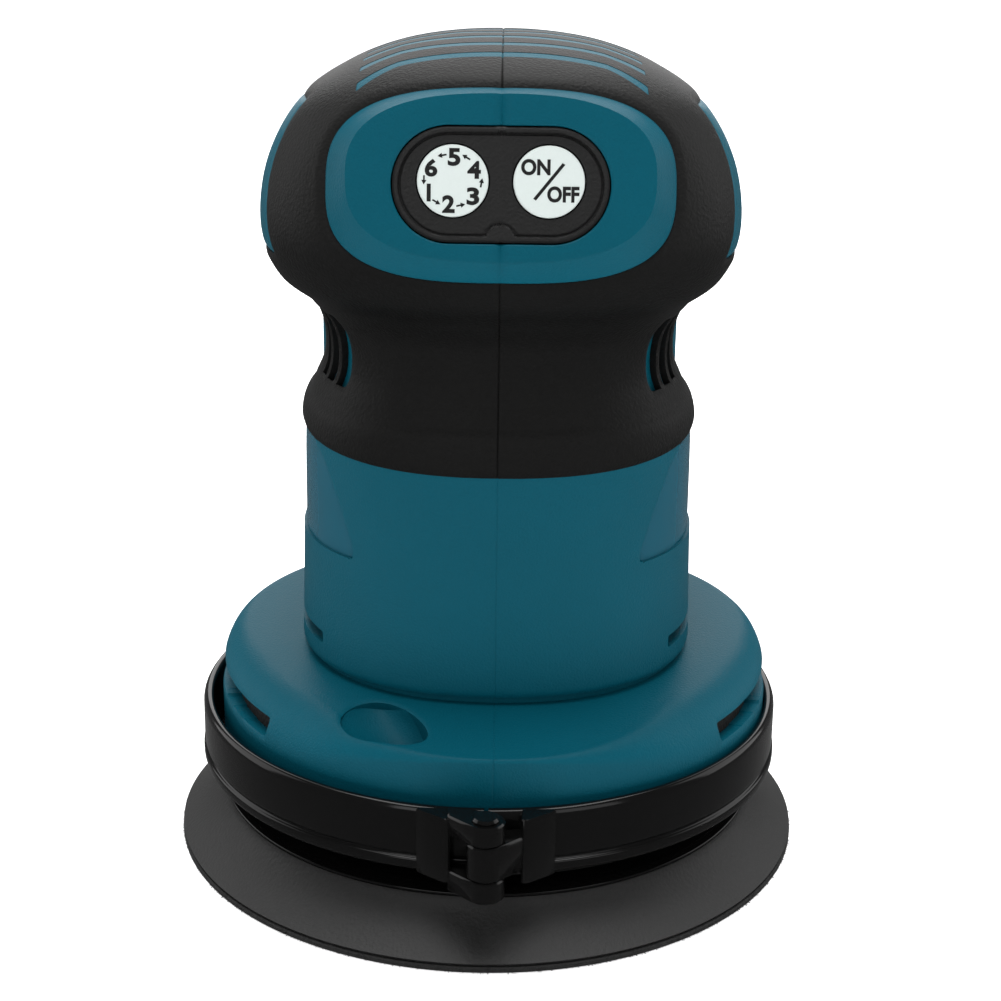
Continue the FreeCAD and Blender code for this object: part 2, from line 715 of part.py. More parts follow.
# Air slots in the waist and bare stripes on the crown, both cut through the overmould.
VENTS_Y, VENT_WIDTH, VENT_HEIGHT, VENT_FOOT = (-20.6, -16.1, -11.6), 3.2, 13.0, 95.6
STRIPES_Y, STRIPE_WIDTH = (-27.0, -19.0, -11.0, -3.0, 5.0, 13.0), 2.3
# Outlines in the (y, z) plane.
SIDE_PANEL = [(-28.0, 121.0), (-21.0, 147.0), (34.0, 145.5), (38.0, 121.0)]
GRIP_BACK = [(12.0, 111.5), (60.0, 117.5), (60.0, 170.0), (-60.0, 170.0)]
SCOOP_RADIUS, SCOOP_LENGTH, SCOOP_X, SCOOP_Z = 4.4, 15.0, 12.6, 39.4
# Clamshell screws as (y, z): one under the scoop on the skirt, one in the head, three behind.
SCREW_SPOTS = ((-40.9, 36.4), (-18.0, 148.5), (41.0, 52.0), (41.0, 92.0), (41.0, 126.0))


def make_housing():
    outer = half_form(0.0)
    layer = outer.cut(half_form(float(grip_depth)))
    cavity = half_form(float(wall), low=12.0)
    black_area = side_prism([(-60.0, collar_height(-60.0)), (12.0, collar_height(12.0))]
                            + GRIP_BACK)
    side_panel = side_prism(SIDE_PANEL)
    side_panel = side_panel.common(Part.makeBox(60, 120, 60, Vector(26.0, -60.0, 110.0)))
    bezel_hole = panel_prism(float(bezel_width) + 0.6, float(bezel_length) + 0.6, 2.9, -12, 12)
    stripes = [Part.makeBox(22.0, STRIPE_WIDTH, 30.0, Vector(-1.0, y - STRIPE_WIDTH / 2, 140.0))
               for y in STRIPES_Y]
    vents = [Part.makeBox(13.0, VENT_WIDTH, VENT_HEIGHT, Vector(23.0, y - VENT_WIDTH / 2, VENT_FOOT))
             for y in VENTS_Y]
    rear_outer, rear_inner = rear_half()
    grip = layer.common(black_area)
    grip = grip.cut([bezel_hole, side_panel, rear_outer] + stripes + vents)
    shell = outer.cut(cavity).cut(grip)
    bezel = panel_prism(float(bezel_width), float(bezel_length), 2.9, -9.0, 0.0)
    face = max(bezel.Faces, key=lambda item: -item.CenterOfMass.y)
    bezel = bezel.makeChamfer(2.2, face.Edges)
    bezel = bezel.common(Part.makeBox(60, 120, 60, Vector(0, -60, 100)))
    rear_shell = rear_outer.cut(outer)
    skirt_hull, skirt = skirt_half()
    body = shell.fuse([bezel, rear_shell, skirt])
    stator_room = Part.makeCylinder(float(stator_radius) + 0.1, 40.0, Vector(0, 0, 55.0))
    ribs = [cavity.common(Part.makeBox(60, 120, 2.0, Vector(0, -60, z))).cut(stator_room)
            for z in (69.0, 81.0)]
    seat = cavity.common(Part.makeBox(60, 120, 5.0, Vector(0, -60, float(upper_bearing_z) + 1)))
    air_ways = [Part.makeCylinder(4.5, 20.0, Vector(*polar(21.0, angle), 95.0))
                for angle in (-60, -20, 20, 60)]
    seat = seat.cut([Part.makeCylinder(11.0, 20.0, Vector(0, 0, 95.0))] + air_ways)
    body = body.fuse(ribs + [seat])
    hull = half_form(float(grip_depth)).fuse([rear_outer, skirt_hull])
    bosses, holes_right, holes_left = [], [], []
    for y, z in SCREW_SPOTS:
        at = Vector(0, y, z)
        bosses.append(Part.makeCylinder(3.5, 16.0, at, Vector(1, 0, 0)).common(hull))
        holes_right.append(Part.makeCylinder(1.6, 11.0, at, Vector(1, 0, 0)))
        holes_left.append(Part.makeCylinder(2.0, 60.0, at, Vector(1, 0, 0)))
        holes_left.append(Part.makeCylinder(3.9, 60.0, at + Vector(10.0, 0, 0), Vector(1, 0, 0)))
    holes_left[1] = Part.makeCylinder(3.9, 6.0, Vector(10.0, *SCREW_SPOTS[0]), Vector(1, 0, 0))
    holes_left[0] = Part.makeCylinder(2.0, 12.0, Vector(0, *SCREW_SPOTS[0]), Vector(1, 0, 0))
    rear_room = rear_inner.cut(outer).cut(bosses)
    recess = stadium_prism(float(panel_width) + 0.6, float(panel_length) + 0.6, -1.8, 4.0)
    window = stadium_prism(30.0, 14.0, -12.0, 0.0)
    board_room = Part.makeBox(42.0, 20.0, 14.0, Vector(-21.0, -10.0, -19.0))
    board_room.Placement = panel_frame()
    body = body.cut([recess, window, board_room, rear_room]).fuse(bosses)
    right = body.cut(holes_right)
    scoop_at = Vector(SCOOP_X, SCREW_SPOTS[0][0], SCOOP_Z)
    lining = Part.makeCylinder(SCOOP_RADIUS + 2.0, SCOOP_LENGTH + 2.0, scoop_at, Vector(1, 0, 0))
    lining = lining.common(skirt_hull)
    lining = lining.cut(Part.makeCylinder(float(fan_radius) + 1.0, 40.0))
    scoop = Part.makeCylinder(SCOOP_RADIUS, SCOOP_LENGTH, scoop_at, Vector(1, 0, 0))
    left = body.fuse(lining).cut(holes_left + [scoop]).mirror(Vector(), Vector(1, 0, 0))
    node(feature("housing_right", right))
    node(feature("housing_left", left))
    node(feature("grip_right", grip))
    node(feature("grip_left", grip.mirror(Vector(), Vector(1, 0, 0))))


def make_housing_screws():
    screws = []
    for index, (y, z) in enumerate(SCREW_SPOTS):
        head = cylinder(f"case_screw_head_{index}", 3.6, 2.4, x=-12.4, y=y, z=z, turn=ALONG_X)
        shank = cylinder(f"case_screw_shank_{index}", 1.6, 20.0, x=-10.0, y=y, z=z, turn=ALONG_X)
        screws.append(fuse(f"case_screw_{index}", head, shank))
    node(group("housing_screws", *screws))


# ---------------------------------------------------------------- controls


def panel_placement(x, y, z):
    return panel_frame().multiply(Placement(Vector(x, y, z), Rotation()))


def make_controls():
    plate = stadium_prism(float(panel_width), float(panel_length), -1.8, -0.2)
    key_holes = []
    for side in (-1, 1):
        hole = Part.makeCylinder(float(key_radius) + 0.3, 20.0)
        hole.Placement = panel_placement(side * float(key_spacing), float(key_rise), -10.0)
        key_holes.append(hole)
    node(feature("control_panel", plate.cut(key_holes)))
    for name, side in (("speed_key", -1), ("power_key", 1)):
        cap = Part.makeCylinder(float(key_radius), 1.7)
        cap = cap.makeFillet(0.35, [cap.Edges[0]])
        stem = Part.makeCylinder(1.5, 2.6, Vector(0, 0, -2.6))
        node(feature(name, cap.fuse(stem),
                     panel_placement(side * float(key_spacing), float(key_rise), -1.6)))
    gasket = stadium_prism(29.4, 13.4, -3.7, -2.7)
    pockets = []
    for side in (-1, 1):
        pocket = Part.makeCylinder(3.0, 6.0)
        pocket.Placement = panel_placement(side * float(key_spacing), float(key_rise), -6.0)
        pockets.append(pocket)
    node(feature("key_gasket", gasket.cut(pockets)))
    board = Part.makeBox(40.0, 18.0, 1.6, Vector(-20.0, -9.0, -10.2))
    board.Placement = panel_frame()
    node(feature("control_board", board))
    switches = []
    for side in (-1, 1):
        can = Part.makeBox(6.0, 6.0, 2.6, Vector(-3.0, -3.0, 0))
        plunger = Part.makeCylinder(1.6, 0.6, Vector(0, 0, 2.6))
        switch = can.fuse(plunger)
        switch.Placement = panel_placement(side * float(key_spacing), float(key_rise), -8.6)
        switches.append(switch)
    node(feature("tact_switches", Part.makeCompound(switches)))
    case = box("controller_block", (-24.0, 24.0), (-22.0, 14.0), (112.5, 124.5))
    well = box("controller_well", (-22.0, 22.0), (-20.0, 12.0), (114.0, 126.0))
    node(cut("controller_case", case, well))
    node(box("controller_board", (-21.8, 21.8), (-19.8, 11.8), (114.0, 115.6)))
    drums = [cylinder(f"capacitor_{index}", 4.5, 9.0, x=x, y=-10.0, z=115.6)
             for index, x in enumerate((-12.0, 0.0, 12.0))]
    node(group("capacitors", *drums))


def make_brake_ring():
    inner_wall = skirt_radius - skirt_wall
    node(turned("pad_brake_ring", [
        (48.6, 20.0), (48.6, 17.0), (49.4, 12.9), (50.4, 12.9), (50.4, 17.0),
        (inner_wall, 17.0), (inner_wall, 20.0),
    ]))


# ---------------------------------------------------------------- battery


def make_receiver():
    """Rails on the rear of the housing, open at the top, that the pack slides down into."""
    rear = rear_depth
    low, high = 46.0, 132.0
    parts = [box("receiver_plate", (-33.0, 33.0), (rear, rear + 2.0), (low, high))]
    for side in (-1, 1):
        inner, outer = side * 30.0, side * 33.0
        lip = side * 26.0
        parts.append(box(f"receiver_wall_{side}", tuple(sorted((inner, outer))),
                         (rear + 2.0, rear + 8.0), (low, high)))
        parts.append(box(f"receiver_lip_{side}", tuple(sorted((lip, outer))),
                         (rear + 5.0, rear + 8.0), (low, high)))
    screw_holes = [cylinder(f"receiver_hole_{x}_{z}", 1.7, 8.0, x=x, y=rear - 3.0, z=z,
                            turn=ALONG_Y) for x in (-20.0, 20.0) for z in (76.0, 126.0)]
    node(cut("battery_receiver", fuse("receiver_blank", *parts), *screw_holes))
    screws = []
    for x in (-20.0, 20.0):
        for z in (76.0, 126.0):
            name = f"receiver_screw_{x:.0f}_{z:.0f}"
            head = cylinder(name + "_head", 2.9, 1.6, x=x, y=rear + 2.0, z=z, turn=ALONG_Y)
            shank = cylinder(name + "_shank", 1.5, 2.0, x=x, y=rear, z=z, turn=ALONG_Y)
            screws.append(fuse(name, head, shank))
    node(group("receiver_screws", *screws))
    node(box("terminal_block", (-25.0, 25.0), (rear + 2.0, rear + 8.0), (low, 52.0)))
    blades = [box(f"terminal_blade_{index}", (x - 0.4, x + 0.4), (rear + 3.4, rear + 6.6),
                  (52.0, 62.0)) for index, x in enumerate((-16.0, -5.0, 16.0))]
    node(group("terminal_blades", *blades))


def make_battery():
    rear = rear_depth
    front, back = pack_front, pack_back
    low, high = pack_foot, pack_top
    split = pack_front + 16.0
    half = pack_width
    shade = pack_wall
    tongue_low, tongue_high = 52.5, 130.0
    flange = box("pack_flange", (-30.0 + rail_gap, 30.0 - rail_gap),
                 (rear + 4.0 - 1.6, rear + 5.0 - rail_gap), (tongue_low, tongue_high))
    neck = box("pack_neck", (-26.0 + rail_gap, 26.0 - rail_gap),
               (rear + 2.4, front), (tongue_low, tongue_high))
    lid = rounded_box("pack_lid", (-half, half), (front, split), (low, high), 4.0)
    lid_room = box("pack_lid_room", (-half + shade, half - shade), (front + shade, split),
                   (low + shade, high - shade))
    slots = [box(f"blade_slot_{index}", (x - 1.0, x + 1.0), (rear + 2.9, rear + 7.1),
                 (tongue_low - 1.0, 63.0)) for index, x in enumerate((-16.0, -5.0, 16.0))]
    heads = [box(f"screw_relief_{x}", (x - 3.8, x + 3.8), (rear + 2.0, rear + 4.2),
                 (tongue_low - 1.0, tongue_high + 1.0)) for x in (-20.0, 20.0)]
    button_well = box("button_well", (-13.0, 13.0), (front - 1.0, front + 12.0),
                      (high - 9.0, high + 1.0))
    node(cut("battery_case_front", fuse("pack_lid_blank", flange, neck, lid),
             lid_room, button_well, *slots, *heads))
    tub = rounded_box("pack_tub", (-half, half), (split, back), (low, high), 7.0)
    tub_room = box("pack_tub_room", (-half + shade, half - shade), (split, back - shade),
                   (low + shade, high - shade))
    node(cut("battery_case_rear", tub, tub_room))
    cells = []
    pitch = 2 * cell_radius + 0.8
    bottom = 51.8
    nearest = 81.2
    margin = 9.6
    for layer in range(2):
        for row in range(5):
            cells.append(cylinder(f"cell_{layer}_{row}", cell_radius, cell_length,
                                  x=-0.5 * cell_length, y=nearest + layer * pitch,
                                  z=bottom + row * pitch, turn=ALONG_X))
    node(group("battery_cells", *cells))
    frames = []
    for side in (-1, 1):
        inner, outer = side * 24.0, side * 29.0
        plate = box(f"holder_plate_{side}", tuple(sorted((inner, outer))),
                    (nearest - margin, nearest + pitch.value + margin),
                    (bottom - margin, bottom + 4 * pitch.value + margin))
        frames.append(cut(f"holder_{side}", plate, *[
            cylinder(f"holder_hole_{side}_{layer}_{row}", cell_radius, 90.0, x=-45.0,
                     y=nearest + layer * pitch, z=bottom + row * pitch, turn=ALONG_X)
            for layer in range(2) for row in range(5)]))
    node(group("cell_holders", *frames))
    straps = []
    for side in (-1, 1):
        for row in range(5):
            near = side * 0.5 * cell_length.value
            far = near + side * 0.4
            z = bottom + row * pitch.value
            straps.append(box(f"strap_{side}_{row}", tuple(sorted((near, far))),
                              (nearest - 5.0, nearest + pitch.value + 5.0), (z - 4.0, z + 4.0)))
    node(group("cell_straps", *straps))
    node(box("battery_board", (-28.0, 28.0), (front + 9.0, front + 10.6), (low + 14.0, high - 14.0)))
    contacts = []
    for index, x in enumerate((-16.0, -5.0, 16.0)):
        for side in (-1, 1):
            near = x + side * 0.6
            far = x + side * 0.95
            contacts.append(box(f"pack_contact_{index}_{side}", tuple(sorted((near, far))),
                                (rear + 3.2, rear + 6.8), (tongue_low + 1.0, 62.5)))
    node(group("battery_contacts", *contacts))
    button = rounded_box("battery_button", (-12.6, 12.6), (front + 0.4, front + 6.6),
                         (high - 8.6, high - 0.3), 1.2)
    node(button)


def rounded_box(label, x, y, z, radius):
    """A box whose edges along X are rounded, as a pack's or a button's are."""
    block = box(label + "_block", x, y, z)
    doc.recompute()
    obj = doc.addObject("Part::Fillet", label)
    obj.Base = block
    along = [index + 1 for index, edge in enumerate(block.Shape.Edges)
             if edge.BoundBox.XLength > edge.BoundBox.YLength + edge.BoundBox.ZLength]
    obj.Edges = [(index, radius, radius) for index in along]
    return obj


# ---------------------------------------------------------------- build, check and write


def check_and_write():
    doc.recompute()
    faults = [f"{item.Label}: {item.State}" for item in doc.Objects
              if "Invalid" in item.State or "Error" in item.State]
    for item in NODES:
        shape = item.Shape
        if shape.isNull() or not shape.isValid() or not shape.Solids or shape.Volume <= 0:
            faults.append(f"{item.Label}: no valid solid")
    if faults:
        raise SystemExit("\n".join(faults))
    os.makedirs("parts", exist_ok=True)
    for item in NODES:
        item.Shape.exportStep(os.path.join("parts", item.Label + ".step"))
    print(len(NODES), "sub-parts written")


make_pad()
make_pad_bearings()
make_carrier()
make_fan()
make_shaft()
make_stator()
make_bearing_plate()
make_shroud()
make_housing()
make_housing_screws()
make_controls()
make_brake_ring()
make_receiver()
make_battery()
check_and_write()
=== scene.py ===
import math

import bpy
import numpy as np
from mathutils import Matrix, Vector


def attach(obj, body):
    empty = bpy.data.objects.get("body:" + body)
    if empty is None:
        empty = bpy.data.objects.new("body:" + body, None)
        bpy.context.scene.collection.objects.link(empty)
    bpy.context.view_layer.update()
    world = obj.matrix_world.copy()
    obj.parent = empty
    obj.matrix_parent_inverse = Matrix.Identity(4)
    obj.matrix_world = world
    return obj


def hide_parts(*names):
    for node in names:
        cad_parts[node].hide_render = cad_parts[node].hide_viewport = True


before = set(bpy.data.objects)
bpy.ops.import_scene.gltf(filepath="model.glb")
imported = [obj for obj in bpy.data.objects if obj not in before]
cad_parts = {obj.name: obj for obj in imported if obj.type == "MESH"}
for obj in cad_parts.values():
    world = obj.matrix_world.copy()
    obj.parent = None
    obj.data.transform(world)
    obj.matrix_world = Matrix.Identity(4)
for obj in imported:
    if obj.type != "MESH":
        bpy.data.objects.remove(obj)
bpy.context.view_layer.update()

# Cordless dual action polisher. Shapes are worked out in millimetres in the CAD's frame
# (+Z up, -Y the front with the keys, origin on the motor axis in the pad's working face)
# and become metres only when a mesh is made.
MM = 0.001
AXES = np.eye(3)

# ---------------------------------------------------------------- sizes

# Cross-sections of the motor column and head: height, half width, front, rear, squareness.
STATIONS = np.array([
    (39.5, 38.5, 36.9, 37.5, 2.2),
    (62.0, 37.8, 37.2, 37.5, 2.25),
    (86.5, 37.3, 37.2, 37.3, 2.3),
    (92.5, 35.0, 35.4, 37.0, 2.3),
    (98.5, 32.7, 33.8, 37.0, 2.3),
    (105.5, 32.9, 34.2, 38.5, 2.35),
    (111.0, 35.6, 38.6, 41.0, 2.45),
    (116.0, 41.0, 43.6, 43.5, 2.6),
    (124.0, 43.8, 46.2, 44.6, 2.7),
    (135.0, 42.4, 44.8, 44.8, 2.7),
    (145.0, 36.8, 42.0, 42.5, 2.7),
    (151.0, 28.2, 37.5, 37.5, 2.6),
    (154.6, 19.0, 27.0, 28.0, 2.4),
    (156.4, 9.0, 12.0, 14.0, 2.2),
    (156.7, 0.02, 0.02, 0.02, 2.0),
])
GROOVE_TOP = 41.4          # foot of the column, above the shadow groove
GRIP_PROUD = 0.45          # overmould stands this far out of the housing
SEAM_WIDTH = 0.35          # half width of the seam between the two halves
BEZEL_WIDTH, BEZEL_LENGTH, BEZEL_SQUARE = 57.7, 31.4, 2.9
CREASE_WIDTH, CREASE_LENGTH, CREASE_RISE = 50.4, 27.0, 1.0
BEZEL_TILT = math.radians(11.0)
BEZEL_AT = np.array([0.0, -45.2, 135.8])
PANEL_WIDTH, PANEL_LENGTH = 35.2, 18.5
KEY_RADIUS, KEY_SPACING, KEY_RISE = 5.8, 7.8, 0.6
PANEL_X = np.array([1.0, 0.0, 0.0])
PANEL_UP = np.array([0.0, math.sin(BEZEL_TILT), math.cos(BEZEL_TILT)])
PANEL_OUT = np.array([0.0, -math.cos(BEZEL_TILT), math.sin(BEZEL_TILT)])
SKIRT_RADIUS, SKIRT_FOOT = 54.0, 17.5
RING_SHIFT, RING_INNER, RING_OUTER, RING_LIP = -1.2, 55.5, 57.5, 57.8
RING_FOOT, RING_TOP = 16.8, 29.3
RING_SWEEP = 179.2         # degrees in each half, which leaves a fine gap at both ends
HINGE_Y, HINGE_BARREL = -61.8, 3.4
PAD_X, PAD_TOP_RADIUS, PAD_TOP = -1.4, 53.4, 10.0
PAD_WELL = 12.0            # radius of the screw well through the pad

# ---------------------------------------------------------------- mesh building


class Builder:
    """Gathers patches of points and faces, each with its material, into one piece."""

    def __init__(self):
        self.points, self.faces, self.slots, self.count = [], [], [], 0

    def add(self, points, faces, slot=0):
        points = np.asarray(points, float).reshape(-1, 3)
        faces = np.asarray(faces, int)
        self.points.append(points)
        self.faces += (faces + self.count).tolist()
        self.slots += [slot] * len(faces)
        self.count += len(points)
        return self

    def piece(self, name, body, materials, replaces=(), slot=None, smooth=35.0):
        """Makes the mesh object, smooth except across edges sharper than the angle given."""
        mesh = bpy.data.meshes.new(name)
        mesh.from_pydata((np.concatenate(self.points) * MM).tolist(), [], self.faces)
        for material in materials:
            mesh.materials.append(material)
        mesh.polygons.foreach_set("material_index", self.slots)
        mesh.polygons.foreach_set("use_smooth", [True] * len(self.faces))
        mesh.set_sharp_from_angle(angle=math.radians(smooth))
        mesh.validate()
        obj = bpy.data.objects.new(name, mesh)
        bpy.context.scene.collection.objects.link(obj)
        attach(obj, body)
        if replaces:
            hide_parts(*replaces)
        return obj


def grid_faces(rows, columns, wrap=False, flip=False):
    """Quads of a grid whose rows run along the first index; wrap closes the columns."""
    i, j = np.meshgrid(np.arange(rows - 1), np.arange(columns if wrap else columns - 1),
                       indexing="ij")
    after = (j + 1) % columns
    quads = np.stack([i * columns + j, i * columns + after, (i + 1) * columns + after,
                      (i + 1) * columns + j], -1).reshape(-1, 4)
    return quads[:, ::-1] if flip else quads


def round_corners(outline, radius, steps=4):
    """A polyline of (u, v) corners with each inner corner replaced by a small arc-like bend:
    a quadratic curve from one side of the corner to the other."""
    outline = [np.array(point, float) for point in outline]
    result = [outline[0]]
    for before, corner, after in zip(outline, outline[1:], outline[2:]):
        reach_in = min(radius, 0.45 * np.linalg.norm(corner - before))
        reach_out = min(radius, 0.45 * np.linalg.norm(after - corner))
        start = corner + (before - corner) / np.linalg.norm(before - corner) * reach_in
        end = corner + (after - corner) / np.linalg.norm(after - corner) * reach_out
        for share in np.linspace(0.0, 1.0, steps + 1):
            result.append((1 - share) ** 2 * start + 2 * share * (1 - share) * corner
                          + share ** 2 * end)
    return np.array(result + [outline[-1]])


def turned(outline, x=0.0, y=0.0, start=0.0, sweep=360.0, segments=128):
    """An outline of (radius, height) turned about a vertical axis at x, y. Faces point away
    from the axis where the outline climbs."""
    outline = np.asarray(outline, float)
    closed = sweep >= 360.0
    angles = np.radians(start + sweep * np.arange(segments + (0 if closed else 1)) / segments)
    radius, height = outline[:, 0][:, None], outline[:, 1][:, None]
    points = np.stack([x + radius * np.cos(angles), y + radius * np.sin(angles),
                       height + 0 * angles], -1)
    return points.reshape(-1, 3), grid_faces(len(outline), len(angles), wrap=closed)


def fan(loop, flip=False):
    """A flat lid over a closed loop of points: a fan from its middle."""
    loop = np.asarray(loop, float)
    count = len(loop)
    index = np.arange(count)
    faces = np.stack([index, (index + 1) % count, np.full(count, count)], -1)
    return np.vstack([loop, loop.mean(0)]), faces[:, ::-1] if flip else faces


def soft_box(low, high, radius):
    """A box with round edges: a cube's grid pushed out to a rounded box. Each point of the
    grid is the core box's nearest point plus the radius along the direction to it."""
    low, high = np.asarray(low, float), np.asarray(high, float)
    core = (high - low) / 2.0 - radius
    centre = (high + low) / 2.0
    stops = np.concatenate([-1.0 - np.cos(np.linspace(0, math.pi / 2, 5))[:-1] * 0.999,
                            [-1.0, 1.0],
                            1.0 + np.sin(np.linspace(0, math.pi / 2, 5))[1:] * 0.999])
    count = len(stops)
    builder_points, builder_faces, total = [], [], 0
    a, b = np.meshgrid(stops, stops, indexing="ij")
    for axis in range(3):
        for sign in (-1.0, 1.0):
            cube = np.zeros((count, count, 3))
            cube[..., axis] = 2.0 * sign
            cube[..., (axis + 1) % 3] = a
            cube[..., (axis + 2) % 3] = b
            inner = np.clip(cube, -1.0, 1.0)
            away = cube - inner
            away /= np.linalg.norm(away, axis=-1, keepdims=True)
            builder_points.append((centre + inner * core + away * radius).reshape(-1, 3))
            builder_faces.append(grid_faces(count, count, flip=sign < 0) + total)
            total += count * count
    return np.concatenate(builder_points), np.concatenate(builder_faces)


# ---------------------------------------------------------------- borders on a surface


def smooth_max(values, sharpness=3.0):
    """The largest of several distances, with the corner between them rounded."""
    values = np.stack(values)
    top = values.max(0)
    return top + np.log(np.exp((values - top) * sharpness).sum(0)) / sharpness


def polygon_distance(u, v, corners, sharpness=3.0):
    """Distance outside a convex polygon given anticlockwise, with rounded corners."""
    sides = []
    for (u0, v0), (u1, v1) in zip(corners, corners[1:] + corners[:1]):
        length = math.hypot(u1 - u0, v1 - v0)
        sides.append(((v1 - v0) * (u - u0) - (u1 - u0) * (v - v0)) / length)
    return smooth_max(sides, sharpness)


def lozenge_distance(u, v, half_u, half_v, square):
    """Distance outside a superellipse, the level set divided by its slope."""
    p, q = np.abs(u) / half_u + 1e-9, np.abs(v) / half_v + 1e-9
    level = (p ** square + q ** square) ** (1.0 / square)
    slope = level ** (1.0 - square) * np.hypot(p ** (square - 1) / half_u,
                                              q ** (square - 1) / half_v)
    return (level - 1.0) / np.maximum(slope, 1e-6)


def soft_edge(distance, width, depth):
    """How far an eased edge falls away: nothing beyond the width, the depth at the edge,
    along a parabola between them."""
    return depth * np.clip(1.0 - distance / width, 0.0, 1.0) ** 2


def surface_frame(points):
    """Steps along columns and rows of a grid, and its outward normals."""
    across, along = np.gradient(points, axis=1), np.gradient(points, axis=0)
    normals = np.cross(across, along)
    normals /= np.maximum(np.linalg.norm(normals, axis=-1, keepdims=True), 1e-12)
    return across, along, normals


def snap(points, border):
    """Moves grid points that lie within half a cell of a border on to it, along the surface."""
    across, along, normals = surface_frame(points)
    value = border(points)
    slope = np.stack([(border(points + axis * 0.01) - border(points - axis * 0.01)) / 0.02
                      for axis in AXES], -1)
    slope -= (slope * normals).sum(-1, keepdims=True) * normals
    size = (slope ** 2).sum(-1)
    cell = np.maximum(np.abs((slope * across).sum(-1)), np.abs((slope * along).sum(-1)))
    near = (np.abs(value) < 0.5 * cell) & (size > 0.05)
    moved = points - np.where(near, value / np.maximum(size, 1e-6), 0.0)[..., None] * slope
    return moved, near


def carve(builder, points, borders, region_of, lift_of, slot_of, owner_rank, mirror=False):
    """Adds a grid surface split along its borders into regions, each raised or sunk by its
    own lift, with walls where neighbouring regions stand at different heights."""
    marked = np.zeros(points.shape[:2], bool)
    for border in borders:
        points, near = snap(points, border)
        marked |= near
    normals = surface_frame(points)[2]
    rows, columns = points.shape[:2]
    quads = grid_faces(rows, columns)
    on_border = marked.reshape(-1)[quads]
    other = on_border[:, 1] & on_border[:, 3] & ~(on_border[:, 0] & on_border[:, 2])
    first = np.where(other[:, None], quads[:, [0, 1, 3]], quads[:, [0, 1, 2]])
    second = np.where(other[:, None], quads[:, [1, 2, 3]], quads[:, [0, 2, 3]])
    triangles = np.concatenate([first, second])
    flat, out = points.reshape(-1, 3), normals.reshape(-1, 3)
    region = region_of(flat[triangles].mean(1))
    sign = np.array([-1.0, 1.0, 1.0]) if mirror else np.ones(3)
    regions = [name for name in np.unique(region) if name >= 0]
    raised = {name: (flat + out * lift_of(name, flat)[:, None]) * sign for name in regions}
    for name in regions:
        chosen = triangles[region == name]
        used, faces = np.unique(chosen, return_inverse=True)
        faces = faces.reshape(-1, 3)
        builder[slot_of(name)[0]].add(raised[name][used], faces[:, ::-1] if mirror else faces,
                                      slot_of(name)[1])
    starts = triangles.reshape(-1)
    ends = triangles[:, [1, 2, 0]].reshape(-1)
    owner = np.repeat(np.arange(len(triangles)), 3)
    keys = np.minimum(starts, ends) * len(flat) + np.maximum(starts, ends)
    order = np.argsort(keys, kind="stable")
    pair = np.nonzero(keys[order][1:] == keys[order][:-1])[0]
    here, there = order[pair], order[pair + 1]
    ra, rb = region[owner[here]], region[owner[there]]
    for one in regions:
        for two in regions:
            if one == two or owner_rank(one) < owner_rank(two):
                continue
            if owner_rank(one) == owner_rank(two) and one < two:
                continue
            chosen = np.concatenate([here[(ra == one) & (rb == two)],
                                     there[(ra == two) & (rb == one)]])
            if not len(chosen):
                continue
            a, b = starts[chosen], ends[chosen]
            gap = np.abs(raised[one][a] - raised[two][a]).sum(-1) \
                + np.abs(raised[one][b] - raised[two][b]).sum(-1)
            a, b = a[gap > 0.02], b[gap > 0.02]
            count = len(a)
            if not count:
                continue
            wall = np.concatenate([raised[one][b], raised[one][a],
                                   raised[two][a], raised[two][b]])
            index = np.arange(count)
            faces = np.stack([index, index + count, index + 2 * count, index + 3 * count], -1)
            target = slot_of(one) if owner_rank(one) >= owner_rank(two) else slot_of(two)
            builder[target[0]].add(wall, faces[:, ::-1] if mirror else faces, target[1])


# ---------------------------------------------------------------- column and head

STRIPES_Y = (-27.0, -19.0, -11.0, -3.0, 5.0, 13.0)
STRIPE_HALF_WIDTH, STRIPE_KINK, STRIPE_END = 1.35, 17.5, 24.2
VENTS_Y = (-20.6, -16.1, -11.6)
VENT_MIDDLE, VENT_HALF_WIDTH, VENT_HALF_HEIGHT = 102.1, 1.6, 6.6
NOWHERE = 30.0             # distance given where a border doesn't reach


def station_rows(place):
    """Section sizes at fractional station numbers: a smooth cubic through the stations."""
    last = len(STATIONS) - 1
    index = np.clip(np.floor(place).astype(int), 0, last - 1)
    share = (place - index)[..., None]
    p0, p1 = STATIONS[np.maximum(index - 1, 0)], STATIONS[index]
    p2, p3 = STATIONS[index + 1], STATIONS[np.minimum(index + 2, last)]
    return p1 + 0.5 * share * (p2 - p0 + share * (2 * p0 - 5 * p1 + 4 * p2 - p3
                                                  + share * (3 * (p1 - p2) + p3 - p0)))


def section_points(rows, angle):
    """Points of the right half of each section: x = half |cos|^(2/n), y = reach |sin|^(2/n)."""
    height, half, front, rear, square = [item[..., None] for item in np.moveaxis(rows, -1, 0)]
    angle = angle[None, :]
    reach = np.where(angle > 0, rear, front)
    x = half * np.maximum(np.cos(angle), 0.0) ** (2.0 / square)
    y = np.sign(angle) * reach * np.abs(np.sin(angle)) ** (2.0 / square)
    return np.stack([x, y, height + 0 * x], -1)


def evenly(positions, spacing):
    """Picks parameters along a path so that neighbours are the wanted spacing apart."""
    travelled = np.concatenate([[0.0], np.cumsum(np.abs(np.diff(positions[1])) / spacing)])
    count = int(math.ceil(travelled[-1]))
    return np.interp(np.linspace(0, travelled[-1], count + 1), travelled, positions[0])


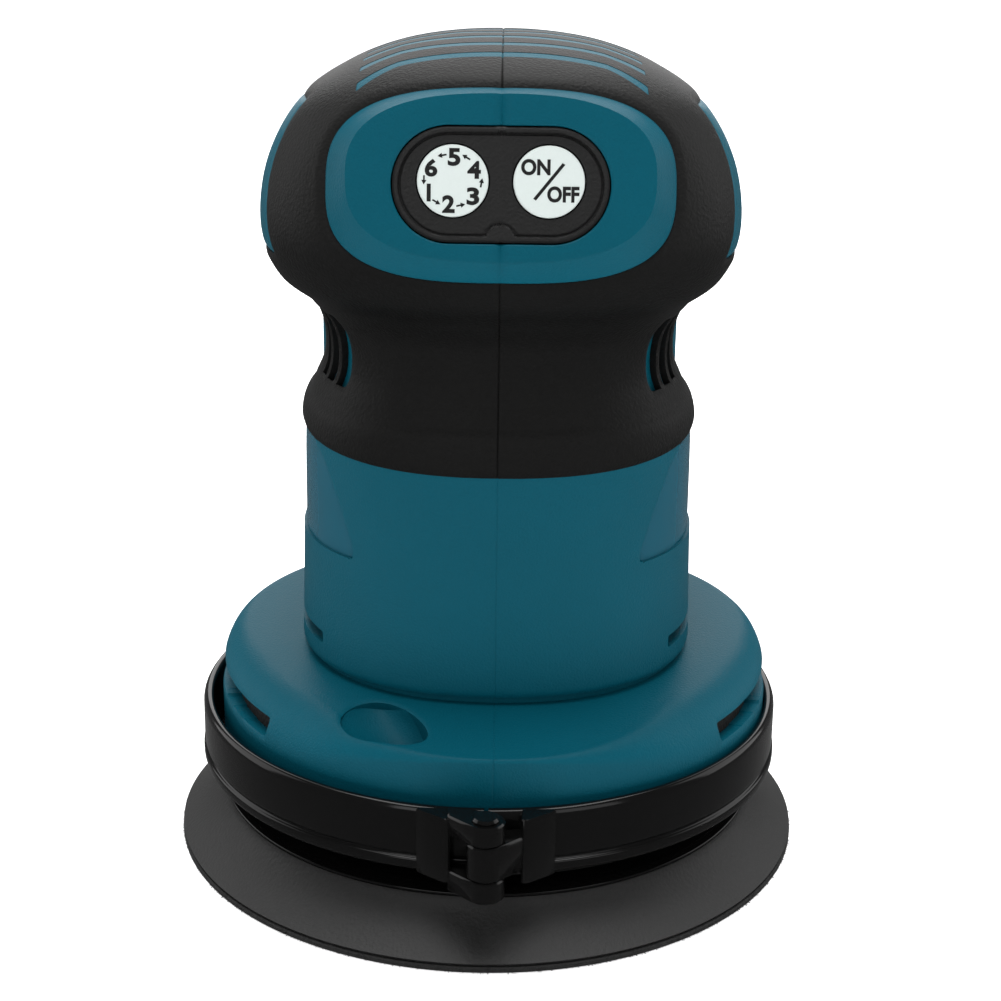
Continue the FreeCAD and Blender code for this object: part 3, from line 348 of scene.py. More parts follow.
def column_grid(fine):
    """The right half of the column and head as a grid, finer at the front of the head."""
    place = np.linspace(0.0, len(STATIONS) - 1.0, 4000)
    rows = station_rows(place)
    steps = np.hypot(np.diff(rows[:, 0]), 0.5 * (np.diff(rows[:, 1]) + np.diff(rows[:, 2])))
    path = np.concatenate([[0.0], np.cumsum(steps)])
    height = (rows[1:, 0] + rows[:-1, 0]) / 2.0
    spacing = np.where(height < 112.0, 0.55, 0.36) * fine
    chosen = evenly((place, path), spacing)
    chosen_rows = station_rows(chosen)
    chosen_rows = chosen_rows[chosen_rows[:, 0] > GROOVE_TOP]
    edge = np.interp(GROOVE_TOP, rows[:, 0], place)
    chosen_rows = np.vstack([station_rows(np.array([edge])), chosen_rows])
    angle = np.linspace(-math.pi / 2, math.pi / 2, 6000)
    outline = section_points(station_rows(np.array([9.0])), angle)[0]
    arc = np.concatenate([[0.0], np.cumsum(np.linalg.norm(np.diff(outline, axis=0), axis=1))])
    middle = (arc[1:] + arc[:-1]) / 2.0
    spacing = np.where(middle < 0.5, 0.12, np.where(middle < 37.0, 0.36, 0.85)) * fine
    return section_points(chosen_rows, evenly((angle, arc), spacing))


def collar(points):
    """Height above the overmould's lower edge, which climbs towards the rear."""
    return points[..., 2] - (83.6 + 0.092 * (points[..., 1] + 37.0))


def panel_coords(points):
    """Position across and up the control panel, from its middle."""
    away = points - BEZEL_AT
    return away @ PANEL_X, away @ PANEL_UP


def bezel_edge(points):
    """Outside of the raised frame round the panel: a superellipse a little past it."""
    u, v = panel_coords(points)
    outside = lozenge_distance(u, v, BEZEL_WIDTH / 2 + 0.25, BEZEL_LENGTH / 2 + 0.25, BEZEL_SQUARE)
    return np.where(points[..., 1] < -20.0, outside, NOWHERE)


def rear_edge(points):
    """Positive where the overmould is, in front of the teal rear housing."""
    y, z = points[..., 1], points[..., 2]
    return smooth_max([12.0 - y, z - (111.5 + 0.125 * (y - 12.0))], 2.0)


def side_edge(points):
    """The bare teal panel on each side of the head: a leaning four-sided outline."""
    inside = polygon_distance(points[..., 1], points[..., 2], [
        (-27.0, 120.5), (39.0, 119.0), (36.0, 145.0), (-19.5, 146.5)], 1.2)
    return np.where(points[..., 0] > 20.0, inside, NOWHERE)


def stripe_edge(points):
    """Cross stripes on the crown that kink forward near their ends."""
    x, y, z = points[..., 0], points[..., 1], points[..., 2]
    bend = np.maximum(x - STRIPE_KINK, 0.0) * 0.5
    across = np.min([np.abs(y + bend - at) for at in STRIPES_Y], axis=0) - STRIPE_HALF_WIDTH
    return np.where(z > 140.0, smooth_max([across, x - STRIPE_END], 8.0), NOWHERE)


def vent_edge(points):
    """Three upright air slots in each side of the waist."""
    y, z = points[..., 1], points[..., 2]
    slots = [smooth_max([np.abs(y - at) - VENT_HALF_WIDTH,
                         np.abs(z - VENT_MIDDLE) - VENT_HALF_HEIGHT], 4.0) for at in VENTS_Y]
    return np.where(points[..., 0] > 15.0, np.min(slots, axis=0), NOWHERE)


def label_edge(points):
    """The smooth recess on each side of the column, bounded in front by a leaning arc."""
    x, y, z = points[..., 0], points[..., 1], points[..., 2]
    azimuth = np.degrees(np.arctan2(x, -y))
    front = np.interp(z, (64.0, 68.0, 75.0, 82.0, 87.0, 92.0),
                      (41.5, 42.5, 47.0, 53.6, 64.6, 80.0))
    ahead = (front - azimuth) * 0.65
    return smooth_max([ahead, 65.0 - z, z - 95.0, y - 13.0], 2.0)


def slot_edge(points):
    """The small air slot low on each side of the column."""
    x, y, z = points[..., 0], points[..., 1], points[..., 2]
    azimuth = np.degrees(np.arctan2(x, -y))
    return smooth_max([(57.0 - azimuth) * 0.65, (azimuth - 104.0) * 0.65,
                       np.abs(z - 46.5) - 1.25], 5.0)


COLUMN, LABEL, SLOT, GRIP, STRIPE, SIDE, VENT, REAR = range(8)
UNDER_BEZEL = -1           # left open: the bezel covers it


def column_region(points):
    """Which region each point of the column and head is in; later lines win."""
    region = np.full(len(points), COLUMN)
    region[label_edge(points) < 0] = LABEL
    region[slot_edge(points) < 0] = SLOT
    above = collar(points) > 0
    black = above & (rear_edge(points) > 0)
    region[above & ~black] = REAR
    region[black] = GRIP
    region[black & (side_edge(points) < 0)] = SIDE
    region[black & (stripe_edge(points) < 0)] = STRIPE
    region[black & (vent_edge(points) < 0)] = VENT
    region[black & (bezel_edge(points) < 0)] = UNDER_BEZEL
    return region


def column_lift(region, points):
    """How far a region stands out of the surface: sunk at the seam of the two halves, and
    eased down along its borders by soft_edge."""
    seam = -soft_edge(points[:, 0], SEAM_WIDTH, 0.22)
    if region == GRIP:
        edges = np.minimum.reduce([collar(points), rear_edge(points), side_edge(points),
                                   vent_edge(points)])
        rounded = soft_edge(np.maximum(edges, 0), 1.4, 0.4)
        lip = soft_edge(np.maximum(bezel_edge(points), 0), 1.6, 0.7)
        return GRIP_PROUD - np.maximum(rounded, lip) + seam
    if region == LABEL:
        return -0.5 + 0 * seam
    if region == SLOT:
        return -2.6 + 0 * seam
    if region == VENT:
        return -1.2 + 0 * seam
    if region == SIDE:
        return 0.1 - soft_edge(np.maximum(-side_edge(points), 0), 1.2, 0.35)
    if region == STRIPE:
        return GRIP_PROUD - 0.06 + seam
    base = soft_edge(np.maximum(points[:, 2] - GROOVE_TOP, 0), 1.0, 0.4)
    return 0.5 * seam - base


# ---------------------------------------------------------------- skirt

SKIRT_TURNS = np.array([0, 12, 25, 36, 46, 60, 78, 92, 104, 122, 180.0])
WALL_TOPS = np.array([36.9, 36.2, 34.2, 31.5, 28.9, 29.4, 32.2, 35.0, 37.4, 39.0, 39.4])
EDGE_TOPS = np.array([37.4, 37.3, 37.5, 38.0, 38.4, 38.9, 39.6, 40.0, 40.3, 40.7, 40.8])


def soft_interp(where, stops, values):
    """Interpolation with eased steps: a running mean of straight-line interpolation."""
    offsets = np.linspace(-7.0, 7.0, 9)
    return np.mean([np.interp(np.abs(where + step), stops, values) for step in offsets], axis=0)


def skirt_grid():
    """Right half of the skirt. Rows run down the wall and in over the top, columns round it:
    a plain wall, an elliptical shoulder, then a gentle slope to the column's groove."""
    azimuth = np.concatenate([[0.0, 0.12, 0.3], np.linspace(0.6, 180.0 - 0.6, 420), [180.0]])
    wall_top = soft_interp(azimuth, SKIRT_TURNS, WALL_TOPS)
    edge_top = soft_interp(azimuth, SKIRT_TURNS, EDGE_TOPS)
    inner_top = 39.9 + 1.1 * (azimuth / 180.0)
    drop = edge_top - wall_top
    shoulder = np.clip(drop * 1.05, 0.7, 9.0)
    columns = []
    wall_share = np.linspace(0.0, 1.0, 42)[:, None]
    wall_z = SKIRT_FOOT + (wall_top - SKIRT_FOOT) * wall_share
    columns.append((SKIRT_RADIUS + 0 * wall_z, wall_z))
    turn = np.radians(np.linspace(0.0, 90.0, 22)[1:])[:, None]
    slope_at = inner_top + (edge_top - inner_top) * (
        (SKIRT_RADIUS - shoulder - 36.0) / (SKIRT_RADIUS - 36.0))
    shoulder_z = wall_top + (slope_at - wall_top) * np.sin(turn)
    columns.append((SKIRT_RADIUS - shoulder + shoulder * np.cos(turn), shoulder_z))
    slope = np.linspace(0.0, 1.0, 44)[1:, None]
    slope_r = (SKIRT_RADIUS - shoulder) + (35.6 - SKIRT_RADIUS + shoulder) * slope
    slope_z = slope_at + (inner_top - slope_at) * slope
    columns.append((slope_r, slope_z))
    radius = np.concatenate([item[0] for item in columns])
    height = np.concatenate([item[1] for item in columns])
    turn = np.radians(azimuth)
    return np.stack([radius * np.sin(turn), -radius * np.cos(turn), height], -1)


def skirt_slot(points):
    """The long air slot in each side of the skirt."""
    x, y, z = points[..., 0], points[..., 1], points[..., 2]
    azimuth = np.degrees(np.arctan2(x, -y))
    rise = 33.2 + 0.012 * (azimuth - 52.0)
    return smooth_max([(52.0 - azimuth) * 0.94, (azimuth - 98.0) * 0.94,
                       np.abs(z - rise) - 1.75], 4.0)


SCOOP_AT, SCOOP_ALONG = np.array([19.5, -42.2]), np.array([-0.82, -0.57])


def scoop_coords(points):
    """Position along and across the screwdriver's pocket, seen from above."""
    away = points[..., :2] - SCOOP_AT
    along = away @ SCOOP_ALONG
    across = away @ np.array([-SCOOP_ALONG[1], SCOOP_ALONG[0]])
    return along, across


def scoop_width(along):
    return 5.7 - 0.17 * along


def scoop_edge(points):
    """Teardrop pocket for the screwdriver, narrower at its deep end."""
    along, across = scoop_coords(points)
    width = scoop_width(along)
    inside = lozenge_distance(along, across / width * 5.0, 8.8, 5.0, 2.1)
    return np.where(points[..., 2] > 33.0, inside, NOWHERE)


SKIRT, SKIRT_SLOT, SCOOP = 20, 21, 22


def skirt_region(with_scoop):
    """Gives the function that sorts the skirt's points into wall, air slot and pocket."""
    def region_of(points):
        region = np.full(len(points), SKIRT)
        region[skirt_slot(points) < 0] = SKIRT_SLOT
        if with_scoop:
            region[scoop_edge(points) < 0] = SCOOP
        return region
    return region_of


def skirt_lift(with_scoop):
    """Gives the skirt's lift: the pocket is a half-ellipse across, deepening along its axis."""
    def lift_of(region, points):
        seam = -soft_edge(points[:, 0], SEAM_WIDTH, 0.1)
        if region == SKIRT_SLOT:
            return -3.0 + 0 * seam
        if region == SCOOP:
            along, across = scoop_coords(points)
            width = scoop_width(along)
            bowl = np.sqrt(np.maximum(1.0 - (across / width) ** 2, 0.0))
            deep = np.clip((along + 9.0) / 13.0, 0.0, 1.0) ** 0.7
            end = np.clip((8.8 - along) / 1.2, 0.0, 1.0) ** 0.5
            return -0.1 - 6.6 * bowl * deep * end
        rounded = soft_edge(np.maximum(skirt_slot(points), 0), 1.0, 0.25)
        if with_scoop:
            rounded = np.maximum(rounded, soft_edge(np.maximum(scoop_edge(points), 0), 1.0, 0.25))
        return seam - rounded
    return lift_of


# ---------------------------------------------------------------- housing pieces


def make_housing(materials):
    """Both halves of the shell and of the overmould, the left one mirrored in X."""
    fine = 1.0
    column, skirt = column_grid(fine), skirt_grid()
    column_borders = [collar, rear_edge, bezel_edge, side_edge, stripe_edge, vent_edge,
                      label_edge, slot_edge]

    def target(region):
        if region == GRIP:
            return "grip", 0
        # Floors of both air slots get slot 2, the black grip finish, as painted shade for the dark
        # inside of the housing; their walls stay teal.
        return "shell", 1 if region == LABEL else 2 if region in (SLOT, SKIRT_SLOT) else 0

    for side, mirror in (("right", False), ("left", True)):
        builder = {"shell": Builder(), "grip": Builder()}
        carve(builder, column, column_borders, column_region, column_lift, target,
              lambda region: 2 if region == GRIP else 1 if region == COLUMN else 0, mirror)
        borders = [skirt_slot] + ([scoop_edge] if mirror else [])
        stretch = np.array([1.014 if mirror else 1.002, 1.0, 1.0])
        carve(builder, skirt * stretch, borders, skirt_region(mirror), skirt_lift(mirror), target,
              lambda region: 1 if region == SKIRT else 0, mirror)
        add_groove(builder["shell"], mirror)
        add_rear_housing(builder["shell"], mirror)
        add_bezel(builder["shell"], mirror)
        # The shell's third finish is the black grip finish, used as painted shade on the air
        # slots' floors.
        builder["shell"].piece(f"shell_{side}", "housing",
                               [materials["teal"], materials["teal_label"],
                                materials["rubber_and_slot_shade"]],
                               (f"housing_{side}",), "teal_housing")
        builder["grip"].piece(f"soft_grip_{side}", "housing", [materials["rubber_and_slot_shade"]],
                              (f"grip_{side}",), "black_overmould")


def add_groove(builder, mirror):
    """The shadow groove between column and skirt: a short inset wall."""
    angle = np.linspace(-math.pi / 2, math.pi / 2, 160)
    row = station_rows(np.array([0.05]))
    rings = []
    for inset, height in ((0.2, 38.6), (1.5, 39.4), (1.5, GROOVE_TOP - 0.2),
                          (0.5, GROOVE_TOP)):
        shrunk = row.copy()
        shrunk[:, 1:4] -= inset
        shrunk[:, 0] = height
        rings.append(section_points(shrunk, angle)[0])
    points = np.array(rings) * (np.array([-1.0, 1, 1]) if mirror else 1.0)
    builder.add(points, grid_faces(len(rings), len(angle), flip=mirror))


def add_rear_housing(builder, mirror):
    """The upright box behind the column that carries the battery receiver: rounded
    rectangles stacked from the skirt to under the head."""
    angle = np.linspace(-math.pi / 2, math.pi / 2, 90)
    heights = np.array([39.8, 40.2, 41.0, 60.0, 100.0, 128.0, 131.5, 133.4, 134.0])
    insets = np.array([0.8, 0.3, 0.0, 0.0, 0.0, 0.0, 0.7, 2.4, 6.0])
    rings = []
    for height, inset in zip(heights, insets):
        half, depth = 36.0 - inset, 16.0 - inset * 0.5
        x = half * np.cos(angle) ** (2.0 / 9.0)
        y = 30.0 + np.sign(angle) * depth * np.abs(np.sin(angle)) ** (2.0 / 6.0)
        rings.append(np.stack([x, y, height + 0 * x], -1))
    points = np.array(rings) * (np.array([-1.0, 1, 1]) if mirror else 1.0)
    builder.add(points, grid_faces(len(rings), len(angle), flip=mirror))
    lid, faces = fan(points[-1], flip=mirror)
    builder.add(lid, faces)


def head_level(u, v):
    """Distance from the panel plane to the head's surface, along the panel's normal: found
    by halving the range until the superellipse level of the section is one."""
    heights = np.linspace(0.0, len(STATIONS) - 1.001, 800)
    table = station_rows(heights)
    low, high = np.full(u.shape, -30.0), np.full(u.shape, 8.0)
    for _ in range(30):
        middle = (low + high) / 2.0
        points = BEZEL_AT + u[..., None] * PANEL_X + v[..., None] * PANEL_UP \
            + middle[..., None] * PANEL_OUT
        half, front, square = (np.interp(points[..., 2], table[:, 0], table[:, column])
                               for column in (1, 2, 4))
        level = (np.abs(points[..., 0]) / half) ** square \
            + (np.abs(points[..., 1]) / front) ** square
        inside = level < 1.0
        low, high = np.where(inside, middle, low), np.where(inside, high, middle)
    return (low + high) / 2.0


def lozenge_point(angle, half_u, half_v, square):
    """Point of a superellipse: u = a |cos|^(2/n), v = b |sin|^(2/n), with their signs."""
    u = np.sign(np.cos(angle)) * half_u * np.abs(np.cos(angle)) ** (2.0 / square)
    v = np.sign(np.sin(angle)) * half_v * np.abs(np.sin(angle)) ** (2.0 / square)
    return u, v


def stadium_point(angle, half_u, half_v):
    """Point of a lozenge with round ends in the direction given: the ray from the middle
    meets either the straight sides or an end arc."""
    reach = half_u - half_v
    cosine, sine = np.cos(angle), np.sin(angle)
    side = np.abs(sine) > 1e-6
    straight = half_v / np.maximum(np.abs(sine), 1e-6)
    on_side = side & (np.abs(cosine) * straight <= reach)
    offset = np.abs(cosine) * reach
    arc = offset + np.sqrt(np.maximum(offset ** 2 - reach ** 2 + half_v ** 2, 0.0))
    length = np.where(on_side, straight, arc)
    return length * cosine, length * sine


def add_bezel(builder, mirror):
    """The raised frame round the control panel: a blend from the panel's lozenge out to the
    bezel's edge, flat at first and then falling back to the head's surface."""
    angle = np.linspace(-math.pi / 2, math.pi / 2, 181)
    outer_u, outer_v = lozenge_point(angle, BEZEL_WIDTH / 2, BEZEL_LENGTH / 2, BEZEL_SQUARE)
    heading = np.arctan2(outer_v, outer_u)
    inner_u, inner_v = stadium_point(heading, PANEL_WIDTH / 2 + 0.25, PANEL_LENGTH / 2 + 0.25)
    edge = head_level(outer_u, outer_v)
    rows = []
    face = 0.35
    for share, height in ((0.0, -1.6), (0.0, face - 0.25), (0.02, face - 0.06), (0.04, face)):
        u, v = inner_u + (outer_u - inner_u) * share, inner_v + (outer_v - inner_v) * share
        rows.append((u, v, height + 0 * u))
    crease_u, crease_v = lozenge_point(angle, CREASE_WIDTH / 2, CREASE_LENGTH / 2, 2.6)
    crease_v = crease_v + CREASE_RISE
    for share in np.linspace(0.08, 1.0, 12):
        rows.append((inner_u + (crease_u - inner_u) * share,
                     inner_v + (crease_v - inner_v) * share, face - 0.12 * share ** 3 + 0 * u))
    for share in np.linspace(0.0, 1.0, 18)[1:]:
        rows.append((crease_u + (outer_u - crease_u) * share,
                     crease_v + (outer_v - crease_v) * share,
                     face - 0.12 + (edge + 0.35 - face + 0.12) * (0.8 * share + 0.2 * share ** 2)))
    for step in np.linspace(0.0, 1.0, 6)[1:]:
        grow = 1.0 + 0.008 * math.sin(step * math.pi / 2)
        rows.append((outer_u * grow, outer_v * grow,
                     edge + 0.35 - 0.9 * (1 - math.cos(step * math.pi / 2))))
    rows.append((outer_u * 1.008, outer_v * 1.008, edge - 2.4))
    u, v, out = (np.array([row[index] for row in rows]) for index in range(3))
    out = out - soft_edge(np.abs(u), SEAM_WIDTH, 0.6)
    points = BEZEL_AT + u[..., None] * PANEL_X + v[..., None] * PANEL_UP \
        + out[..., None] * PANEL_OUT
    points *= np.array([-1.0, 1, 1]) if mirror else 1.0
    builder.add(points, grid_faces(len(rows), len(angle), flip=not mirror))


# ---------------------------------------------------------------- controls


def on_panel(points):
    """Carries points given across, up and out of the panel into the shared frame."""
    points = np.asarray(points, float).reshape(-1, 3)
    return BEZEL_AT + points @ np.stack([PANEL_X, PANEL_UP, PANEL_OUT])


def stadium_inside(u, v):
    """Distance inward from the panel's edge."""
    half = PANEL_LENGTH / 2
    along = np.maximum(np.abs(u) - (PANEL_WIDTH / 2 - half), 0.0)
    return half - np.hypot(along, v)


def panel_height(u, v):
    """Height of the panel's face: a rim round its edge and round the tab at its foot, a fine
    groove inside the rim, then the flat."""
    tab = 2.6 - np.hypot(u, v + PANEL_LENGTH / 2 - 0.2)
    inside = np.minimum(stadium_inside(u, v), 1.0 - tab)
    rim = 0.16 - 0.5 * np.clip(0.35 - stadium_inside(u, v), 0.0, 0.35)
    step = np.clip((inside - 0.85) / 0.2, 0.0, 1.0)
    groove = np.exp(-((inside - 1.15) / 0.16) ** 2) * 0.22
    return rim + (-0.2 - rim) * step - groove


def make_panel(materials):
    """The control panel: rings about each key's hole, each reaching to the panel's edge or to
    the line between the keys."""
    builder = Builder()
    hole = KEY_RADIUS + 0.25
    angle = np.linspace(0.0, 2 * math.pi, 241)[:-1]
    for side in (-1.0, 1.0):
        centre_u, centre_v = side * KEY_SPACING, KEY_RISE
        reach = np.full(angle.shape, 30.0)
        for _ in range(40):
            u, v = centre_u + reach * np.cos(angle), centre_v + reach * np.sin(angle)
            outside = np.maximum(-stadium_inside(u, v), -side * u)
            reach = reach - 0.7 * outside
        share = np.concatenate([[0.0], np.linspace(0.0, 1.0, 64)])[:, None]
        radius = hole + (reach - hole) * share
        u = centre_u + radius * np.cos(angle)
        v = centre_v + radius * np.sin(angle)
        out = panel_height(u, v)
        out[0] = -4.0
        skirt_edge = stadium_inside(u[-1], v[-1]) < 0.05
        u, v = np.vstack([u, u[-1:]]), np.vstack([v, v[-1:]])
        out = np.vstack([out, np.where(skirt_edge, -1.8, out[-1])[None, :]])
        builder.add(on_panel(np.stack([u, v, out], -1)),
                    grid_faces(len(out), len(angle), wrap=True))
    builder.piece("key_panel", "housing", [materials["panel"]], ("control_panel",),
                  "panel_black", smooth=30.0)


def lettering(text, width, height, u, v):
    """Flat letter shapes stretched to a width and height about a middle point."""
    curve = bpy.data.curves.new("lettering", "FONT")
    curve.body = text
    curve.offset = 0.04
    curve.resolution_u = 6
    holder = bpy.data.objects.new("lettering", curve)
    mesh = bpy.data.meshes.new_from_object(holder)
    mesh.calc_loop_triangles()
    points = np.array([vertex.co[:2] for vertex in mesh.vertices])
    faces = np.array([triangle.vertices[:] for triangle in mesh.loop_triangles])
    bpy.data.objects.remove(holder)
    bpy.data.curves.remove(curve)
    bpy.data.meshes.remove(mesh)
    low, high = points.min(0), points.max(0)
    stretch = np.array([width or height * (high - low)[0] / (high - low)[1], height])
    points = (points - (low + high) / 2) / (high - low) * stretch + (u, v)
    return points, faces


def arrow(u, v, heading, length=1.5):
    """A small arrow: a bar and a triangular head, pointing the way given in degrees."""
    turn = math.radians(heading)
    along, across = np.array([math.cos(turn), math.sin(turn)]), np.array([-math.sin(turn),
                                                                        math.cos(turn)])
    shape = [(-0.5, 0.14), (-0.5, -0.14), (0.05, -0.14), (0.05, 0.14),
             (0.0, -0.42), (0.5, 0.0), (0.0, 0.42)]
    points = [np.array([u, v]) + along * a * length + across * b for a, b in shape]
    return np.array(points), np.array([(0, 1, 2), (0, 2, 3), (4, 5, 6)])


# Print on the keys: text, width, height, then its middle across and up from the key's middle.
SPEED_PRINT = (("1", None, 2.85, -3.85, -1.95), ("2", 2.05, 2.85, -0.65, -3.75),
               ("3", 2.05, 2.85, 3.3, -2.45), ("4", 2.2, 2.85, 3.45, 1.75),
               ("5", 2.05, 2.85, 0.2, 3.75), ("6", 2.05, 2.85, -3.5, 2.0))
SPEED_ARROWS = ((-1.75, 4.0, 190.0), (2.15, 3.75, 150.0), (4.65, -0.3, 80.0),
                (1.35, -3.9, 12.0), (-2.6, -3.45, -30.0), (-4.65, 0.05, -92.0))
POWER_PRINT = (("ON", 4.75, 2.6, -2.2, 2.3), ("OFF", 5.2, 2.6, 2.3, -2.0))


def make_keys(materials):
    """Round keys: a turned cap with a soft edge on a stem, with the print just above it."""
    outline = [(0.001, -4.2), (1.4, -4.2), (1.5, -4.1), (1.5, -1.6), (5.5, -1.6), (5.8, -1.35),
               (5.8, -0.2), (5.72, 0.0), (5.5, 0.12), (5.2, 0.15), (0.001, 0.15)]
    for name, node, side, prints, arrows in (
            ("speed_button", "speed_key", -1.0, SPEED_PRINT, SPEED_ARROWS),
            ("power_button", "power_key", 1.0, POWER_PRINT, ())):
        builder = Builder()
        points, faces = turned(outline, segments=96)
        builder.add(on_panel(points + (side * KEY_SPACING, KEY_RISE, 0.0)), faces)
        marks = [lettering(*item) for item in prints] + [arrow(*item) for item in arrows]
        if not arrows:
            marks.append((np.array([(-2.55, -2.72), (-2.12, -3.03), (2.55, 2.72), (2.12, 3.03)]),
                          np.array([(0, 1, 2), (0, 2, 3)])))
        for flat, faces in marks:
            flat = flat + (side * KEY_SPACING, KEY_RISE)
            builder.add(on_panel(np.column_stack([flat, np.full(len(flat), 0.175)])), faces, 1)
        builder.piece(name, node, [materials["key"], materials["print"]], (node,), "key_white")


# ---------------------------------------------------------------- shroud ring and hinge


def add_prism(builder, outline, low, high, bevel):
    """Adds a convex outline carried upwards, its top and bottom edges bevelled."""
    outline = np.asarray(outline, float)
    middle = outline.mean(0)
    away = outline - middle
    inset = middle + away * (1.0 - bevel / np.linalg.norm(away, axis=1, keepdims=True))
    points = np.array([
        np.column_stack([inset, np.full(len(outline), low)]),
        np.column_stack([outline, np.full(len(outline), low + bevel)]),
        np.column_stack([outline, np.full(len(outline), high - bevel)]),
        np.column_stack([inset, np.full(len(outline), high)])])
    builder.add(points, grid_faces(4, len(outline), wrap=True))
    builder.add(*fan(points[-1]))
    builder.add(*fan(points[0], flip=True))


def hull_outline(points):
    """Anticlockwise convex outline of a set of plan points."""
    points = sorted(map(tuple, points))
    chains = []
    for ordered in (points, points[::-1]):
        chain = []
        for point in ordered:
            while len(chain) > 1 and (
                    (chain[-1][0] - chain[-2][0]) * (point[1] - chain[-2][1])
                    - (chain[-1][1] - chain[-2][1]) * (point[0] - chain[-2][0])) <= 0:
                chain.pop()
            chain.append(point)
        chains += chain[:-1]
    return np.array(chains)


def make_shroud(materials):
    """The two halves of the ring: a turned section, closed ends, the hinge's knuckles and
    shoulders in front, and a tongue in a socket behind."""
    outline = round_corners([
        (52.9, 16.85), (57.0, RING_FOOT), (RING_LIP, 17.5), (RING_LIP, 19.1), (57.1, 19.45),
        (57.1, 19.95), (57.55, 20.3), (RING_OUTER, 28.3), (56.9, RING_TOP), (55.9, RING_TOP),
        (55.55, 28.8), (RING_INNER, 17.35), (52.9, 17.3), (52.9, 16.85)], 0.5)
    circle = [(RING_SHIFT + HINGE_BARREL * math.cos(t), HINGE_Y + HINGE_BARREL * math.sin(t))
              for t in np.linspace(0, 2 * math.pi, 49)[:-1]]
    for side, sign, start in (("left", -1.0, 90.4), ("right", 1.0, -89.6)):
        builder = Builder()
        builder.add(*turned(outline, x=RING_SHIFT, start=start, sweep=RING_SWEEP, segments=190))
        ends = (start, start + RING_SWEEP)
        for degrees in ends:
            turn = math.radians(degrees)
            lid, faces = fan([(RING_SHIFT + r * math.cos(turn), r * math.sin(turn), z)
                              for r, z in outline[:-1]], flip=degrees == ends[1])
            builder.add(lid, faces)
        shoulder = [(RING_SHIFT + sign * x, y) for x, y in
                    ((6.2, -56.2), (6.2, -60.0), (6.5, -60.25), (7.2, -60.2), (11.4, -57.2),
                     (12.2, -56.4), (12.0, -55.9))]
        add_prism(builder, hull_outline(shoulder), RING_FOOT, 29.25, 0.25)
        wedge = [(RING_SHIFT + sign * x, y) for x, y in ((6.6, -60.2), (6.6, -57.2))]
        spans = ((15.3, 19.3), (26.2, 30.0)) if side == "left" else ((19.45, 26.05),)
        for low, high in spans:
            add_prism(builder, hull_outline(circle + wedge), low, high, 0.3)
        if side == "left":
            add_prism(builder, hull_outline([(-5.2, 57.7), (4.4, 57.7), (4.4, 59.3),
                                             (-5.2, 59.3)]), 20.6, 25.4, 0.3)
            add_prism(builder, hull_outline([(-9.2, 56.0), (-3.2, 56.4), (-3.2, 59.3),
                                             (-9.0, 58.6)]), 20.2, 25.8, 0.3)
        else:
            for low, high in ((18.0, 19.8), (26.2, 28.0)):
                add_prism(builder, hull_outline([(0.6, 56.3), (7.8, 56.0), (7.8, 61.4),
                                                 (0.6, 61.4)]), low, high, 0.3)
            for near, far in ((56.3, 56.9), (60.1, 61.4)):
                add_prism(builder, hull_outline([(0.6, near), (7.8, near), (7.8, far),
                                                 (0.6, far)]), 19.0, 27.0, 0.2)
        builder.piece(f"shroud_ring_{side}", f"shroud_{side}", [materials["gloss_black"]],
                      (f"shroud_{side}",), "shroud_gloss", smooth=38.0)
    builder = Builder()
    builder.add(*turned([(0.001, 15.5), (1.2, 15.5), (1.45, 15.8), (1.45, 30.05), (2.3, 30.05),
                         (2.4, 30.3), (2.0, 30.75), (0.9, 30.85), (0.001, 30.85)],
                        x=RING_SHIFT, y=HINGE_Y, segments=48))
    builder.piece("hinge_pin", "shroud_left", [materials["gloss_black"]], ("shroud_hinge_pin",),
                  "shroud_gloss")


# ---------------------------------------------------------------- pad


def make_pad(materials):
    """Turned pieces: the foam with its flank r = top + 8.9 (1 - t)^1.55, the hook layer and
    the backing plate."""
    share = np.linspace(0.0, 1.0, 26)
    flank = [(PAD_TOP_RADIUS + 8.9 * (1.0 - t) ** 1.55, 1.9 + 8.1 * t) for t in share]
    outline = round_corners([(PAD_WELL, 1.2), (61.9, 1.2), flank[0]], 0.5).tolist() + flank[1:] \
        + [(PAD_WELL, PAD_TOP), (PAD_WELL, 1.2)]
    builder = Builder()
    builder.add(*turned(outline, x=PAD_X, segments=256))
    foam = builder.piece("pad_cushion", "pad", [materials["foam"]], ("pad_foam",), "pad_foam")
    builder = Builder()
    builder.add(*turned([(PAD_WELL, 0.05), (62.1, 0.05), (62.4, 0.3), (62.4, 1.0), (62.2, 1.25),
                         (PAD_WELL, 1.25), (PAD_WELL, 0.05)], x=PAD_X, segments=256))
    add_hooks(builder)
    builder.piece("hook_pile", "pad", [materials["hook"]], ("hook_face",), "hook_pile")
    builder = Builder()
    builder.add(*turned(round_corners([
        (PAD_WELL, PAD_TOP), (52.6, PAD_TOP), (53.55, 10.15), (53.6, 10.75), (52.4, 11.1),
        (46.0, 12.2), (15.5, 12.2), (15.0, 13.2), (PAD_WELL, 13.2), (PAD_WELL, PAD_TOP)], 0.25),
        x=PAD_X, segments=256))
    builder.piece("pad_plate", "pad", [materials["gloss_black"]], ("backing_plate",),
                  "plate_gloss")


